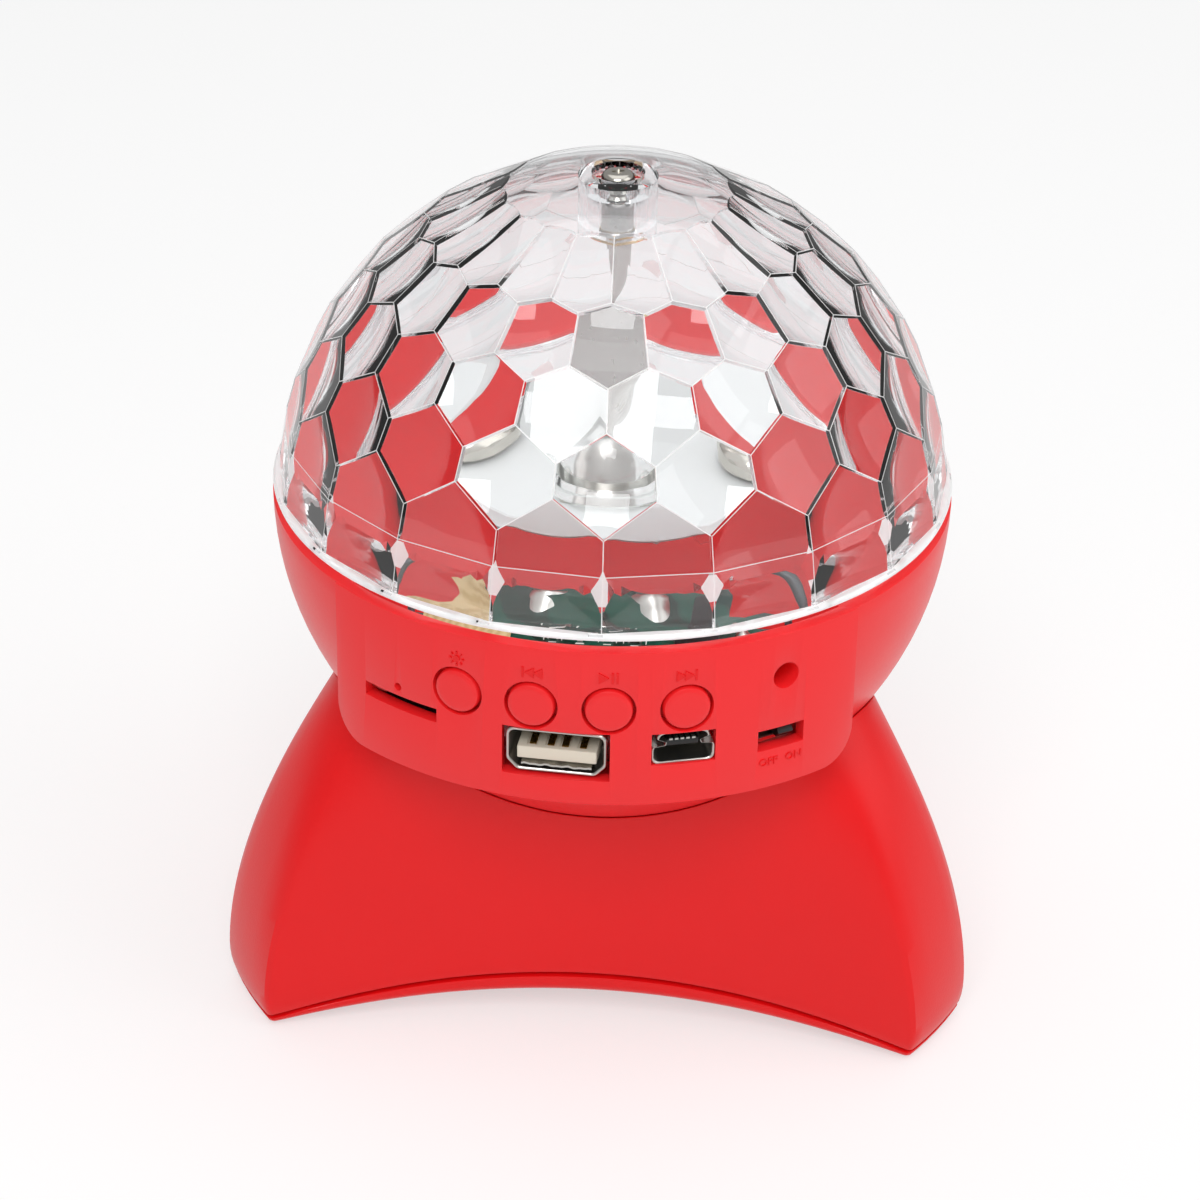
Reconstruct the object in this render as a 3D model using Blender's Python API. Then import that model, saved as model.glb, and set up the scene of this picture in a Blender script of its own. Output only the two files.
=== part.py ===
"""Bluetooth speaker lamp: a clear faceted dome that a motor turns over three coloured lamps, on a
bowl with a curved control panel, screwed to a three-cornered flared stand with a speaker in it.

Metres, +Z up. The origin is on the floor, under the middle of the object's box. The dome's axis
stands at x 0 and y AXIS_Y, and the control panel faces -Y."""

import math

import bmesh
import bpy
from mathutils import Matrix, Vector

MM = 0.001
TURN = 2 * math.pi

# Fits
FIT_GAP = 0.3 * MM
CUT_OVERRUN = 2.0 * MM

# Ball: the dome above and the bowl below share one centre
BALL_RADIUS = 50.0 * MM
BALL_BOTTOM_Z = 26.6 * MM
BALL_CENTRE_Z = BALL_BOTTOM_Z + BALL_RADIUS
SHELL_WALL = 2.0 * MM
BALL_SIDES = 60
BALL_RINGS = 9
HOLLOW_SIDES = 36
HOLLOW_RINGS = 7
RIM_CHAMFER = 0.5 * MM

# Control panel: an upright part-cylinder let into the front of the bowl
PANEL_PROUD = 0.3 * MM
PANEL_DEPTH = 14.0 * MM
PANEL_DROP = 24.3 * MM
PANEL_HALF_ANGLE = math.radians(46.4)
PANEL_CORNER = 5.5 * MM
PANEL_COLUMNS = 20
PANEL_CORNER_COLUMNS = 4

# Stand: three hollow sides, three blunt corners, flared downwards
STAND_TIP_Z = 0.6 * MM
STAND_BLANK_TOP_Z = 54.4 * MM
STAND_WALL = 2.0 * MM
FLARE_RADIUS = 60.7 * MM
FLARE_Z = 5.7 * MM
FLARE_SPAN = 44.0 * MM
FLARE_NARROWING = 15.9 * MM
FLARE_POWER = 1.81
TOE_NARROWING = 1.0 * MM
SIDE_DISTANCE = 30.7 * MM
CORNER_HALF_ANGLE = math.radians(7.3)
CORNER_WIDENING = math.radians(2.4)
CORNER_SOFTNESS = 0.3 * MM
CORNER_SOFTENING = 2.7 * MM
SIDE_STEPS = 10
CORNER_STEPS = 2
STAND_RINGS = 10
EDGE_RING_SHARES = (0.4, 0.7, 0.85)
STAND_RING_CROWDING = 1.15

# The stand's underside and its parting groove are two shallow dishes
DISH_REACH = 60.0 * MM
DISH_RISE = 6.1 * MM
GROOVE_TIP = 1.6 * MM
GROOVE_RISE = 9.1 * MM
GROOVE_WIDTH = 0.5 * MM
COVER_THICKNESS = 2.5 * MM
COVER_STEP_CLEARANCE = 0.9 * MM
EDGE_ROLL_INSET = 0.8 * MM
EDGE_ROLL_RISE = 0.5 * MM
COVER_RING_SHARES = (0.35, 0.7)

# Speaker grille in the cover
GRILLE_SLOT_WIDTH = 2.0 * MM
GRILLE_PITCH = 4.2 * MM
GRILLE_SLOTS = 7
GRILLE_REACH = 15.0 * MM
PIN_SIDES = 8

# Feet
FOOT_RADIUS = 4.5 * MM
FOOT_DISTANCE = 49.0 * MM
FOOT_HEIGHT = 3.1 * MM
FOOT_EDGE = 0.4 * MM

# Screws: head radius, head height, shank radius
SCREW_HEAD_RADIUS = 2.4 * MM
SCREW_HEAD_HEIGHT = 1.4 * MM
SCREW_SHANK_RADIUS = 1.3 * MM
SCREW_CROSS_WIDTH = 0.7 * MM
SCREW_CROSS_LENGTH = 2.9 * MM
SCREW_CROSS_DEPTH = 0.7 * MM
SCREW_SIDES = 12
BOSS_RADIUS = 3.6 * MM
BOSS_SIDES = 16

# Cover screws, into posts in the corners of the stand
COVER_SCREW_DISTANCE = 39.0 * MM
COVER_SCREW_LENGTH = 12.0 * MM
COVER_BOSS_TOP_Z = 8.4 * MM
COVER_HEAD_CEILING_Z = 6.6 * MM
STAND_POST_TOP_Z = 46.0 * MM

# Stand screws, up through the seat into bosses in the bowl
STAND_SCREW_DISTANCE = 14.0 * MM
STAND_SCREW_LENGTH = 9.5 * MM
SEAT_BOSS_BOTTOM_Z = 24.8 * MM
SEAT_BOSS_TOP_Z = 28.0 * MM
BOWL_BOSS_RISE = 11.5 * MM
CABLE_HOLE_RADIUS = 4.5 * MM

# Speaker, firing down
SPEAKER_RADIUS = 20.0 * MM
SPEAKER_SEAT_Z = 9.9 * MM
SPEAKER_RIM_WIDTH = 3.0 * MM
SPEAKER_FLANGE = 1.2 * MM
SPEAKER_THROAT_RADIUS = 9.5 * MM
SPEAKER_BASKET_HEIGHT = 7.2 * MM
SPEAKER_SHEET = 0.8 * MM
CONE_RADIUS = 15.5 * MM
CONE_SHEET = 0.5 * MM
CONE_DUST_CAP_RADIUS = 5.5 * MM
CONE_HEIGHT = 3.6 * MM
MAGNET_RADIUS = 11.0 * MM
MAGNET_HEIGHT = 4.6 * MM
MAGNET_EDGE = 0.5 * MM
SPEAKER_LIP_WIDTH = 1.5 * MM
SPEAKER_LIP_HEIGHT = 1.4 * MM
SPEAKER_SIDES = 24

# Main board
PCB_CLEARANCE = 4.6 * MM
PCB_RADIUS = BALL_RADIUS - PCB_CLEARANCE
PCB_BACK_DISTANCE = 22.0 * MM
PCB_THICKNESS = 1.6 * MM
PCB_DROP = 11.6 * MM
PCB_ARC_STEPS = 28
PCB_SCREW_SIDEWAYS_SHARE = 0.683
PCB_SCREW_AHEAD_SHARE = 0.573
PCB_SCREW_X = PCB_RADIUS * PCB_SCREW_SIDEWAYS_SHARE
PCB_SCREW_DISTANCE = PCB_RADIUS * PCB_SCREW_AHEAD_SHARE
PCB_SCREW_LENGTH = 8.0 * MM

# Panel openings: angle from the front, drop below the rim
BUTTON_ANGLES = [math.radians(angle) for angle in (-21.1, -8.85, 3.4, 15.65)]
BUTTON_NAMES = ("lamp_button", "previous_button", "play_button", "next_button")
BUTTON_DROP = 9.1 * MM
BUTTON_RADIUS = 3.3 * MM
BUTTON_HOLE_RADIUS = 3.75 * MM
BUTTON_PROUD = 0.35 * MM
BUTTON_EDGE = 0.35 * MM
BUTTON_FLANGE_RADIUS = 4.1 * MM
BUTTON_FLANGE_SET_BACK = 2.5 * MM
BUTTON_FLANGE_THICKNESS = 0.9 * MM
BUTTON_STEM_RADIUS = 1.4 * MM
BUTTON_STEM_LENGTH = 3.4 * MM
BUTTON_SIDES = 20
TACT_WIDTH = 6.0 * MM
TACT_HEIGHT = 4.4 * MM
TACT_DEPTH = 3.5 * MM
TACT_SET_BACK = 6.1 * MM
TACT_BORE_DEPTH = 1.6 * MM

CARD_ANGLE = math.radians(-32.0)
CARD_DROP = 14.1 * MM
CARD_WIDTH = 12.6 * MM
CARD_HEIGHT = 2.2 * MM
CARD_SOCKET_WIDTH = 14.0 * MM
CARD_SOCKET_HEIGHT = 1.6 * MM
CARD_SOCKET_DEPTH = 12.0 * MM
CARD_SOCKET_SET_BACK = 2.9 * MM
CARD_SLOT_WIDTH = 11.2 * MM
CARD_SLOT_HEIGHT = 0.8 * MM
CARD_SLOT_DEPTH = 10.0 * MM

LIGHT_HOLE_ANGLE = math.radians(-32.2)
LIGHT_HOLE_DROP = 11.6 * MM
LIGHT_HOLE_RADIUS = 0.6 * MM

ROUND_HOLE_ANGLE = math.radians(32.2)
ROUND_HOLE_DROP = 6.7 * MM
ROUND_HOLE_RADIUS = 2.0 * MM

USB_ANGLE = math.radians(-4.9)
USB_DROP = 16.7 * MM
USB_OPENING_WIDTH = 15.0 * MM
USB_OPENING_HEIGHT = 7.6 * MM
USB_WIDTH = 13.1 * MM
USB_HEIGHT = 5.8 * MM
USB_DEPTH = 13.0 * MM
USB_SHEET = 0.4 * MM
USB_SET_BACK = 0.8 * MM
USB_TONGUE_WIDTH = 11.1 * MM
USB_TONGUE_THICKNESS = 1.9 * MM
USB_TONGUE_BELOW_MIDDLE = 0.85 * MM
USB_TONGUE_SET_BACK = 1.4 * MM
USB_TONGUE_LENGTH = 10.6 * MM

MINI_ANGLE = math.radians(15.3)
MINI_DROP = 15.5 * MM
MINI_OPENING_WIDTH = 9.0 * MM
MINI_OPENING_HEIGHT = 5.0 * MM
MINI_WIDTH = 7.7 * MM
MINI_FOOT_WIDTH = 6.0 * MM
MINI_HEIGHT = 3.9 * MM
MINI_DEPTH = 9.0 * MM
MINI_SHEET = 0.4 * MM
MINI_SET_BACK = 0.7 * MM
MINI_TONGUE_WIDTH = 4.4 * MM
MINI_TONGUE_THICKNESS = 1.0 * MM
MINI_TONGUE_LENGTH = 6.6 * MM
MINI_TONGUE_SET_BACK = 1.4 * MM

SWITCH_ANGLE = math.radians(31.8)
SWITCH_DROP = 16.5 * MM
SWITCH_OPENING_WIDTH = 7.3 * MM
SWITCH_OPENING_HEIGHT = 3.3 * MM
SWITCH_BODY_WIDTH = 9.0 * MM
SWITCH_BODY_HEIGHT = 4.4 * MM
SWITCH_BODY_DEPTH = 4.0 * MM
SWITCH_SET_BACK = 2.8 * MM
SWITCH_SLOT_DEPTH = 2.4 * MM
SWITCH_TRAVEL = 2.4 * MM
LEVER_WIDTH = 2.4 * MM
LEVER_HEIGHT = 1.8 * MM
LEVER_TIP_SET_BACK = 0.7 * MM
LEVER_FOOT_SET_BACK = 4.7 * MM
LEVER_SLOPE = 0.8 * MM

# Dome: flat facets cut on a ball, a round cap, and a boss that the shaft screw goes through
DOME_RIM_GAP = 1.2 * MM
FACET_INSET = 1.5 * MM
CAP_INSET = 0.9 * MM
FACET_RADIUS = BALL_RADIUS - FACET_INSET
CAP_RADIUS = BALL_RADIUS - CAP_INSET
DOME_WALL = 2.2 * MM
FACETS_PER_ROW = 20
FACET_ROWS = ((9.1, 1), (15.5, 1), (27.0, 0), (38.0, 1), (50.0, 0), (62.0, 1))
DOME_TURNED = math.radians(2.0)
CAP_START = math.radians(66.0)
CAP_RINGS = 4
DOME_SIDES = 40
DOME_BLANK_RADIUS = BALL_RADIUS + FACET_INSET
HUB_RADIUS = 5.6 * MM
HUB_LENGTH = 11.7 * MM
HUB_FLOOR = 1.5 * MM
HUB_BOTTOM = CAP_RADIUS - HUB_LENGTH
HUB_SIDES = 16
COUNTERBORE_RADIUS = 3.7 * MM
COUNTERBORE_DEPTH = 2.6 * MM
DOME_SCREW_LENGTH = 8.2 * MM

# Spinning column under the dome: a wide foot and a slim spindle that the dome's boss sits on
INSERT_RADIUS = 3.6 * MM
INSERT_LENGTH = 3.0 * MM
COLUMN_RADIUS = 4.9 * MM
SPINDLE_RADIUS = 2.3 * MM
SPINDLE_SHOWING = 7.4 * MM
COLUMN_TOP = HUB_BOTTOM - SPINDLE_SHOWING
COLUMN_EDGE = 0.6 * MM
MOTOR_SHAFT_RADIUS = 1.5 * MM
MOTOR_SHAFT_TOP = 16.0 * MM

# Lamp housing under the dome
LAMP_TOP = 5.0 * MM
LAMP_RADIUS = 25.0 * MM
LAMP_PLATE = 2.0 * MM
LAMP_WALL = 1.6 * MM
LAMP_SKIRT_BOTTOM = 1.6 * MM
LAMP_CORNER = 1.0 * MM
LAMP_POST_DISTANCE = 19.0 * MM
LAMP_LEG_BOTTOM_DROP = 8.0 * MM
LAMP_SCREW_LENGTH = 20.0 * MM
LAMP_SIDES = 32
LAMP_HOLE_RADIUS = 4.4 * MM
LED_BOARD_RADIUS = 22.4 * MM
LED_BOARD_HOLE_RADIUS = 7.0 * MM
LED_BOARD_THICKNESS = 1.2 * MM
LED_DISTANCE = 14.0 * MM
LED_BASE_RADIUS = 4.0 * MM
LED_BASE_HEIGHT = 1.2 * MM
LED_LENS_RADIUS = 2.8 * MM
LED_NAMES = ("red_led", "green_led", "blue_led")

# Gear motor, hanging under the lamp plate
MOTOR_WIDTH = 12.0 * MM
MOTOR_DEPTH = 10.0 * MM
GEARBOX_HEIGHT = 9.0 * MM
MOTOR_CAN_RADIUS = 4.9 * MM
MOTOR_CAN_HEIGHT = 15.0 * MM
MOTOR_BORE_DEPTH = 3.0 * MM
MOTOR_CRADLE_WALL = 1.4 * MM
MOTOR_CRADLE_HEIGHT = 7.0 * MM

# Battery on two ribs on the bowl's floor
BATTERY_LENGTH = 30.0 * MM
BATTERY_WIDTH = 14.0 * MM
BATTERY_THICKNESS = 6.0 * MM
BATTERY_DISTANCE = 22.0 * MM
BATTERY_RISE = 15.6 * MM
BATTERY_DROP = BALL_RADIUS - BATTERY_RISE
BATTERY_EDGE = 1.2 * MM
BATTERY_RIB_X = 9.0 * MM
BATTERY_RIB_WIDTH = 1.6 * MM
BATTERY_RIB_LENGTH = 12.0 * MM

# On the main board
TAPE_LENGTH = 13.0 * MM
TAPE_WIDTH = 8.0 * MM
TAPE_THICKNESS = 0.4 * MM
TAPE_X = -19.0 * MM
TAPE_DISTANCE = 26.5 * MM
CHIP_LENGTH = 8.0 * MM
CHIP_WIDTH = 7.0 * MM
CHIP_THICKNESS = 1.2 * MM
CHIP_X = 14.0 * MM
CHIP_DISTANCE = 27.0 * MM

# Wires
WIRE_RADIUS = 0.55 * MM
WIRE_STEPS = 3

# The box's front is the buttons' faces and its back is the rear corner, so the axis stands forward
FRONT_REACH = BALL_RADIUS + PANEL_PROUD + BUTTON_PROUD
REAR_REACH = FLARE_RADIUS
AXIS_Y = (FRONT_REACH - REAR_REACH) / 2
PANEL_RADIUS = BALL_RADIUS + PANEL_PROUD
HOLLOW_RADIUS = BALL_RADIUS - SHELL_WALL
SEAT_RADIUS = BALL_RADIUS + FIT_GAP
BORE_RADIUS = SCREW_SHANK_RADIUS + FIT_GAP
PCB_TOP_Z = BALL_CENTRE_Z - PCB_DROP
PCB_BOTTOM_Z = PCB_TOP_Z - PCB_THICKNESS
LAMP_TOP_Z = BALL_CENTRE_Z + LAMP_TOP
LAMP_UNDER_Z = LAMP_TOP_Z - LAMP_PLATE
MOTOR_TOP_Z = LAMP_UNDER_Z - FIT_GAP
LAMP_LEG_Z = BALL_CENTRE_Z - LAMP_LEG_BOTTOM_DROP


def clear_scene():
    for old in list(bpy.data.objects):
        bpy.data.objects.remove(old, do_unlink=True)


def material(name, colour, roughness, metallic=0.0, see_through=0.0):
    made = bpy.data.materials.new(name)
    made.use_nodes = True
    shader = made.node_tree.nodes["Principled BSDF"]
    shader.inputs["Base Color"].default_value = (*colour, 1.0)
    shader.inputs["Roughness"].default_value = roughness
    shader.inputs["Metallic"].default_value = metallic
    shader.inputs["Transmission Weight"].default_value = see_through
    return made


def finish_mesh(bm):
    """Merges doubles and turns every face outwards."""
    bmesh.ops.remove_doubles(bm, verts=bm.verts, dist=FIT_GAP / 1000)
    bmesh.ops.recalc_face_normals(bm, faces=bm.faces)


def new_object(name, bm, finish=None, place=(0.0, 0.0, 0.0), turn=0.0, sharp=30.0):
    mesh = bpy.data.meshes.new(name)
    bm.to_mesh(mesh)
    bm.free()
    mesh.shade_smooth()
    mesh.set_sharp_from_angle(angle=math.radians(sharp))
    obj = bpy.data.objects.new(name, mesh)
    bpy.context.scene.collection.objects.link(obj)
    obj.location = place
    obj.rotation_euler = (0.0, 0.0, turn)
    if finish is not None:
        mesh.materials.append(finish)
    return obj


def helper(obj):
    """A body that only cuts or adds to another, and isn't a piece of the object."""
    obj.hide_render = True
    obj.display_type = "WIRE"
    return obj


def combine(target, tool, operation):
    modifier = target.modifiers.new(tool.name, "BOOLEAN")
    modifier.operation = operation
    modifier.object = tool
    modifier.solver = "EXACT"


def cut(target, tool):
    combine(target, tool, "DIFFERENCE")


def add(target, tool):
    combine(target, tool, "UNION")


def on_axis(z):
    return (0.0, AXIS_Y, z)


def around(distance, angle, z):
    """A place at this distance from the dome's axis, at an angle from the front towards +X."""
    return (distance * math.sin(angle), AXIS_Y - distance * math.cos(angle), z)


def turned(profile, sides):
    """A closed outline of (radius, height) points swept round the vertical axis."""
    bm = bmesh.new()
    points = [bm.verts.new((radius, 0.0, height)) for radius, height in profile]
    edges = []
    for start, end in zip(points, points[1:] + points[:1]):
        if start.co.x > 0.0 or end.co.x > 0.0:
            edges.append(bm.edges.new((start, end)))
    bmesh.ops.spin(bm, geom=points + edges, cent=(0, 0, 0), axis=(0, 0, 1), angle=TURN,
                   steps=sides, use_merge=True)
    finish_mesh(bm)
    return bm


def arc(radius, start, end, steps):
    """Points of a quarter outline on the ball's own centre, by angle above its level."""
    points = []
    for step in range(steps + 1):
        angle = start + (end - start) * step / steps
        points.append((max(radius * math.cos(angle), 0.0), radius * math.sin(angle)))
    points = [(0.0 if abs(x) < FIT_GAP / 1000 else x, z) for x, z in points]
    return points


def prism(outline, bottom, top):
    """An upright solid on an outline of (x, y) points."""
    bm = bmesh.new()
    face = bm.faces.new([bm.verts.new((x, y, bottom)) for x, y in outline])
    swept = bmesh.ops.extrude_face_region(bm, geom=[face])
    raised = [item for item in swept["geom"] if isinstance(item, bmesh.types.BMVert)]
    bmesh.ops.translate(bm, verts=raised, vec=(0.0, 0.0, top - bottom))
    finish_mesh(bm)
    return bm


def add_box(bm, size, centre):
    matrix = Matrix.Translation(centre) @ Matrix.Diagonal((*size, 1.0))
    bmesh.ops.create_cube(bm, size=1.0, matrix=matrix)


def box(size, centre):
    bm = bmesh.new()
    add_box(bm, size, centre)
    return bm


def add_rod(bm, radius, length, matrix, sides):
    """A round bar centred on the matrix, along its Z."""
    bmesh.ops.create_cone(bm, cap_ends=True, cap_tris=False, segments=sides, radius1=radius,
                          radius2=radius, depth=length, matrix=matrix)


def rod_between(bm, radius, place, bottom, top, sides):
    middle = Vector((place[0], place[1], (bottom + top) / 2))
    add_rod(bm, radius, top - bottom, Matrix.Translation(middle), sides)


def panel_frame(angle, drop):
    """Matrix of a place on the panel's face: -Y points out of it, +X to the right, +Z up."""
    place = around(PANEL_RADIUS, angle, BALL_CENTRE_Z - drop)
    return Matrix.Translation(place) @ Matrix.Rotation(angle, 4, "Z")


def panel_object(name, bm, finish, angle, drop, sharp=30.0):
    """Places a piece that was built in its own panel frame."""
    place = around(PANEL_RADIUS, angle, BALL_CENTRE_Z - drop)
    return new_object(name, bm, finish, place, angle, sharp)


RED_ABS = material("red_abs", (0.72, 0.02, 0.025), 0.42)
RED_PANEL = material("red_button_abs", (0.78, 0.03, 0.035), 0.35)
CLEAR_PS = material("clear_polystyrene", (0.95, 0.96, 0.97), 0.03, see_through=1.0)
CLEAR_EPOXY = material("clear_epoxy", (0.88, 0.89, 0.88), 0.1, see_through=1.0)
WHITE_ABS = material("white_abs", (0.85, 0.85, 0.84), 0.45)
RUBBER = material("black_rubber", (0.03, 0.03, 0.03), 0.8)
STEEL = material("nickelled_steel", (0.72, 0.71, 0.68), 0.25, 1.0)
BRASS = material("brass", (0.78, 0.57, 0.25), 0.3, 1.0)
TIN = material("tinned_steel", (0.70, 0.69, 0.66), 0.3, 1.0)
SOCKET_WHITE = material("socket_white", (0.80, 0.77, 0.68), 0.4)
BLACK_PLASTIC = material("black_plastic", (0.02, 0.02, 0.02), 0.4)
GREEN_BOARD = material("green_solder_mask", (0.01, 0.16, 0.07), 0.3)
PAPER = material("black_paper", (0.05, 0.05, 0.05), 0.9)
FERRITE = material("ferrite", (0.08, 0.08, 0.08), 0.6)
TAPE = material("masking_tape", (0.72, 0.60, 0.38), 0.7)
FOIL = material("battery_foil", (0.55, 0.56, 0.58), 0.4, 0.6)
RED_WIRE = material("red_wire", (0.65, 0.02, 0.02), 0.4)
BLACK_WIRE = material("black_wire", (0.02, 0.02, 0.02), 0.4)
GREY_WIRE = material("grey_wire", (0.35, 0.36, 0.38), 0.4)


# Stand outline

def flare(height):
    """Distance from the axis to a corner at this height."""
    if height > FLARE_Z:
        return FLARE_RADIUS - FLARE_NARROWING * ((height - FLARE_Z) / FLARE_SPAN) ** FLARE_POWER
    return FLARE_RADIUS - TOE_NARROWING * ((FLARE_Z - height) / (FLARE_Z - STAND_TIP_Z)) ** 2


def stand_outline(height, inset):
    """(x, y) points round the stand at one height: hollow sides and blunt corners that meet softly."""
    share = height / STAND_BLANK_TOP_Z
    blunt = CORNER_HALF_ANGLE + CORNER_WIDENING * share
    soft = CORNER_SOFTNESS + CORNER_SOFTENING * max(share, 0.0)
    edge = TURN / 6 - blunt
    reach = flare(height)
    bow = (reach * math.cos(edge) - SIDE_DISTANCE) / (reach * math.sin(edge)) ** 2
    near = SIDE_DISTANCE - inset
    angles = [edge * (2 * step / SIDE_STEPS - 1) for step in range(SIDE_STEPS)]
    angles += [edge + 2 * blunt * step / CORNER_STEPS for step in range(CORNER_STEPS)]
    distances = []
    for angle in angles:
        off = min(abs(angle), TURN / 3 - abs(angle))
        under = math.cos(off) ** 2 - 4 * bow * near * math.sin(off) ** 2
        side = 2 * near / (math.cos(off) + math.sqrt(max(under, 0.0)))
        low = min(side, reach - inset)
        beyond = abs(side - (reach - inset))
        distances.append(low - soft * math.log(1 + math.exp(-beyond / soft)))
    points = []
    for side in range(3):
        for angle, distance in zip(angles, distances):
            turned_on = angle + side * TURN / 3
            points.append((distance * math.sin(turned_on), -distance * math.cos(turned_on)))
    return points


def dish(rise, x, y):
    return rise * (1 - (x ** 2 + y ** 2) / DISH_REACH ** 2)


def dished_ring(tip_z, rise, inset, share=1.0):
    """The outline where a shallow dish cuts the stand. Each point's height settles in a few turns."""
    ring = []
    for index in range(3 * (SIDE_STEPS + CORNER_STEPS)):
        height = tip_z + rise / 2
        for _ in range(8):
            x, y = stand_outline(height, inset)[index]
            height = tip_z + dish(rise, x, y)
        x, y = x * share, y * share
        ring.append((x, y, tip_z + dish(rise, x, y)))
    return ring


def skin(rings, bottom_z, top_z):
    """Closes a stack of rings into a solid, with a fan to the axis at each end."""
    bm = bmesh.new()
    stack = [[bm.verts.new(point) for point in ring] for ring in rings]
    count = len(stack[0])
    for lower, upper in zip(stack, stack[1:]):
        for index in range(count):
            after = (index + 1) % count
            bm.faces.new((lower[index], lower[after], upper[after], upper[index]))
    for ring, z in ((stack[0], bottom_z), (stack[-1], top_z)):
        centre = bm.verts.new((0.0, 0.0, z))
        for index in range(count):
            bm.faces.new((ring[index], ring[(index + 1) % count], centre))
    finish_mesh(bm)
    return bm


def stand_body(inset, tip_z, rise):
    """The stand's outline lofted from a dished edge to the blank's level top."""
    rings = [dished_ring(tip_z, rise, inset, share) for share in EDGE_RING_SHARES]
    for step in range(STAND_RINGS):
        share = step / (STAND_RINGS - 1)
        height = tip_z + (STAND_BLANK_TOP_Z - tip_z) * share ** STAND_RING_CROWDING
        rings.append(dished_ring(height, rise * (1 - share), inset))
    return skin(rings, tip_z + rise, STAND_BLANK_TOP_Z)


def ball(radius, sides, rings):
    profile = arc(radius, -TURN / 4, TURN / 4, 2 * rings)
    return turned(profile, sides)


def screw_holes(name, count, distance, angle, bottom, top, radius=BORE_RADIUS):
    bm = bmesh.new()
    for index in range(count):
        place = around(distance, angle + index * TURN / count, 0.0)
        rod_between(bm, radius, place, bottom, top, SCREW_SIDES)
    return helper(new_object(name, bm))


def make_stand():
    groove_z = STAND_TIP_Z + GROOVE_TIP
    body = stand_body(0.0, groove_z, GROOVE_RISE)
    shell = new_object("stand_shell", body, RED_ABS, on_axis(0.0))

    space = stand_body(STAND_WALL, groove_z - CUT_OVERRUN, GROOVE_RISE)
    inside = helper(new_object("stand_inside", space, place=on_axis(0.0)))
    seat = helper(new_object("stand_seat", ball(SEAT_RADIUS + STAND_WALL, HOLLOW_SIDES, HOLLOW_RINGS),
                             place=on_axis(BALL_CENTRE_Z)))
    cut(inside, seat)
    cut(shell, inside)

    posts = bmesh.new()
    for corner in range(3):
        angle = TURN / 6 + corner * TURN / 3
        place = around(COVER_SCREW_DISTANCE, angle, 0.0)
        rod_between(posts, BOSS_RADIUS, place, COVER_BOSS_TOP_Z + FIT_GAP, STAND_POST_TOP_Z, BOSS_SIDES)
        place = around(STAND_SCREW_DISTANCE, corner * TURN / 3, 0.0)
        rod_between(posts, BOSS_RADIUS, place, SEAT_BOSS_BOTTOM_Z, SEAT_BOSS_TOP_Z + CUT_OVERRUN,
                    BOSS_SIDES)
    add(shell, helper(new_object("stand_posts", posts)))

    cut(shell, helper(new_object("ball_space", ball(SEAT_RADIUS, BALL_SIDES, BALL_RINGS),
                                 place=on_axis(BALL_CENTRE_Z))))
    panel = panel_blank(PANEL_RADIUS + FIT_GAP, PANEL_HALF_ANGLE + FIT_GAP / BALL_RADIUS,
                        PANEL_DROP + FIT_GAP, PANEL_CORNER, CUT_OVERRUN)
    cut(shell, helper(new_object("panel_space", panel, place=on_axis(BALL_CENTRE_Z))))
    cut(shell, screw_holes("stand_post_bores", 3, COVER_SCREW_DISTANCE, TURN / 6, STAND_TIP_Z,
                           COVER_HEAD_CEILING_Z + COVER_SCREW_LENGTH + CUT_OVERRUN))
    cut(shell, bpy.data.objects["stand_screw_bores"])
    cut(shell, bpy.data.objects["cable_hole"])
    return shell


def make_shared_holes():
    """Holes that go through both the stand's seat and the bowl."""
    screw_holes("stand_screw_bores", 3, STAND_SCREW_DISTANCE, 0.0, SEAT_BOSS_BOTTOM_Z - CUT_OVERRUN,
                SEAT_BOSS_BOTTOM_Z + STAND_SCREW_LENGTH + CUT_OVERRUN)
    bm = bmesh.new()
    rod_between(bm, CABLE_HOLE_RADIUS, on_axis(0.0), SEAT_BOSS_BOTTOM_Z - 2 * CUT_OVERRUN,
                SEAT_BOSS_TOP_Z + 2 * CUT_OVERRUN, BOSS_SIDES)
    helper(new_object("cable_hole", bm))


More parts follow.
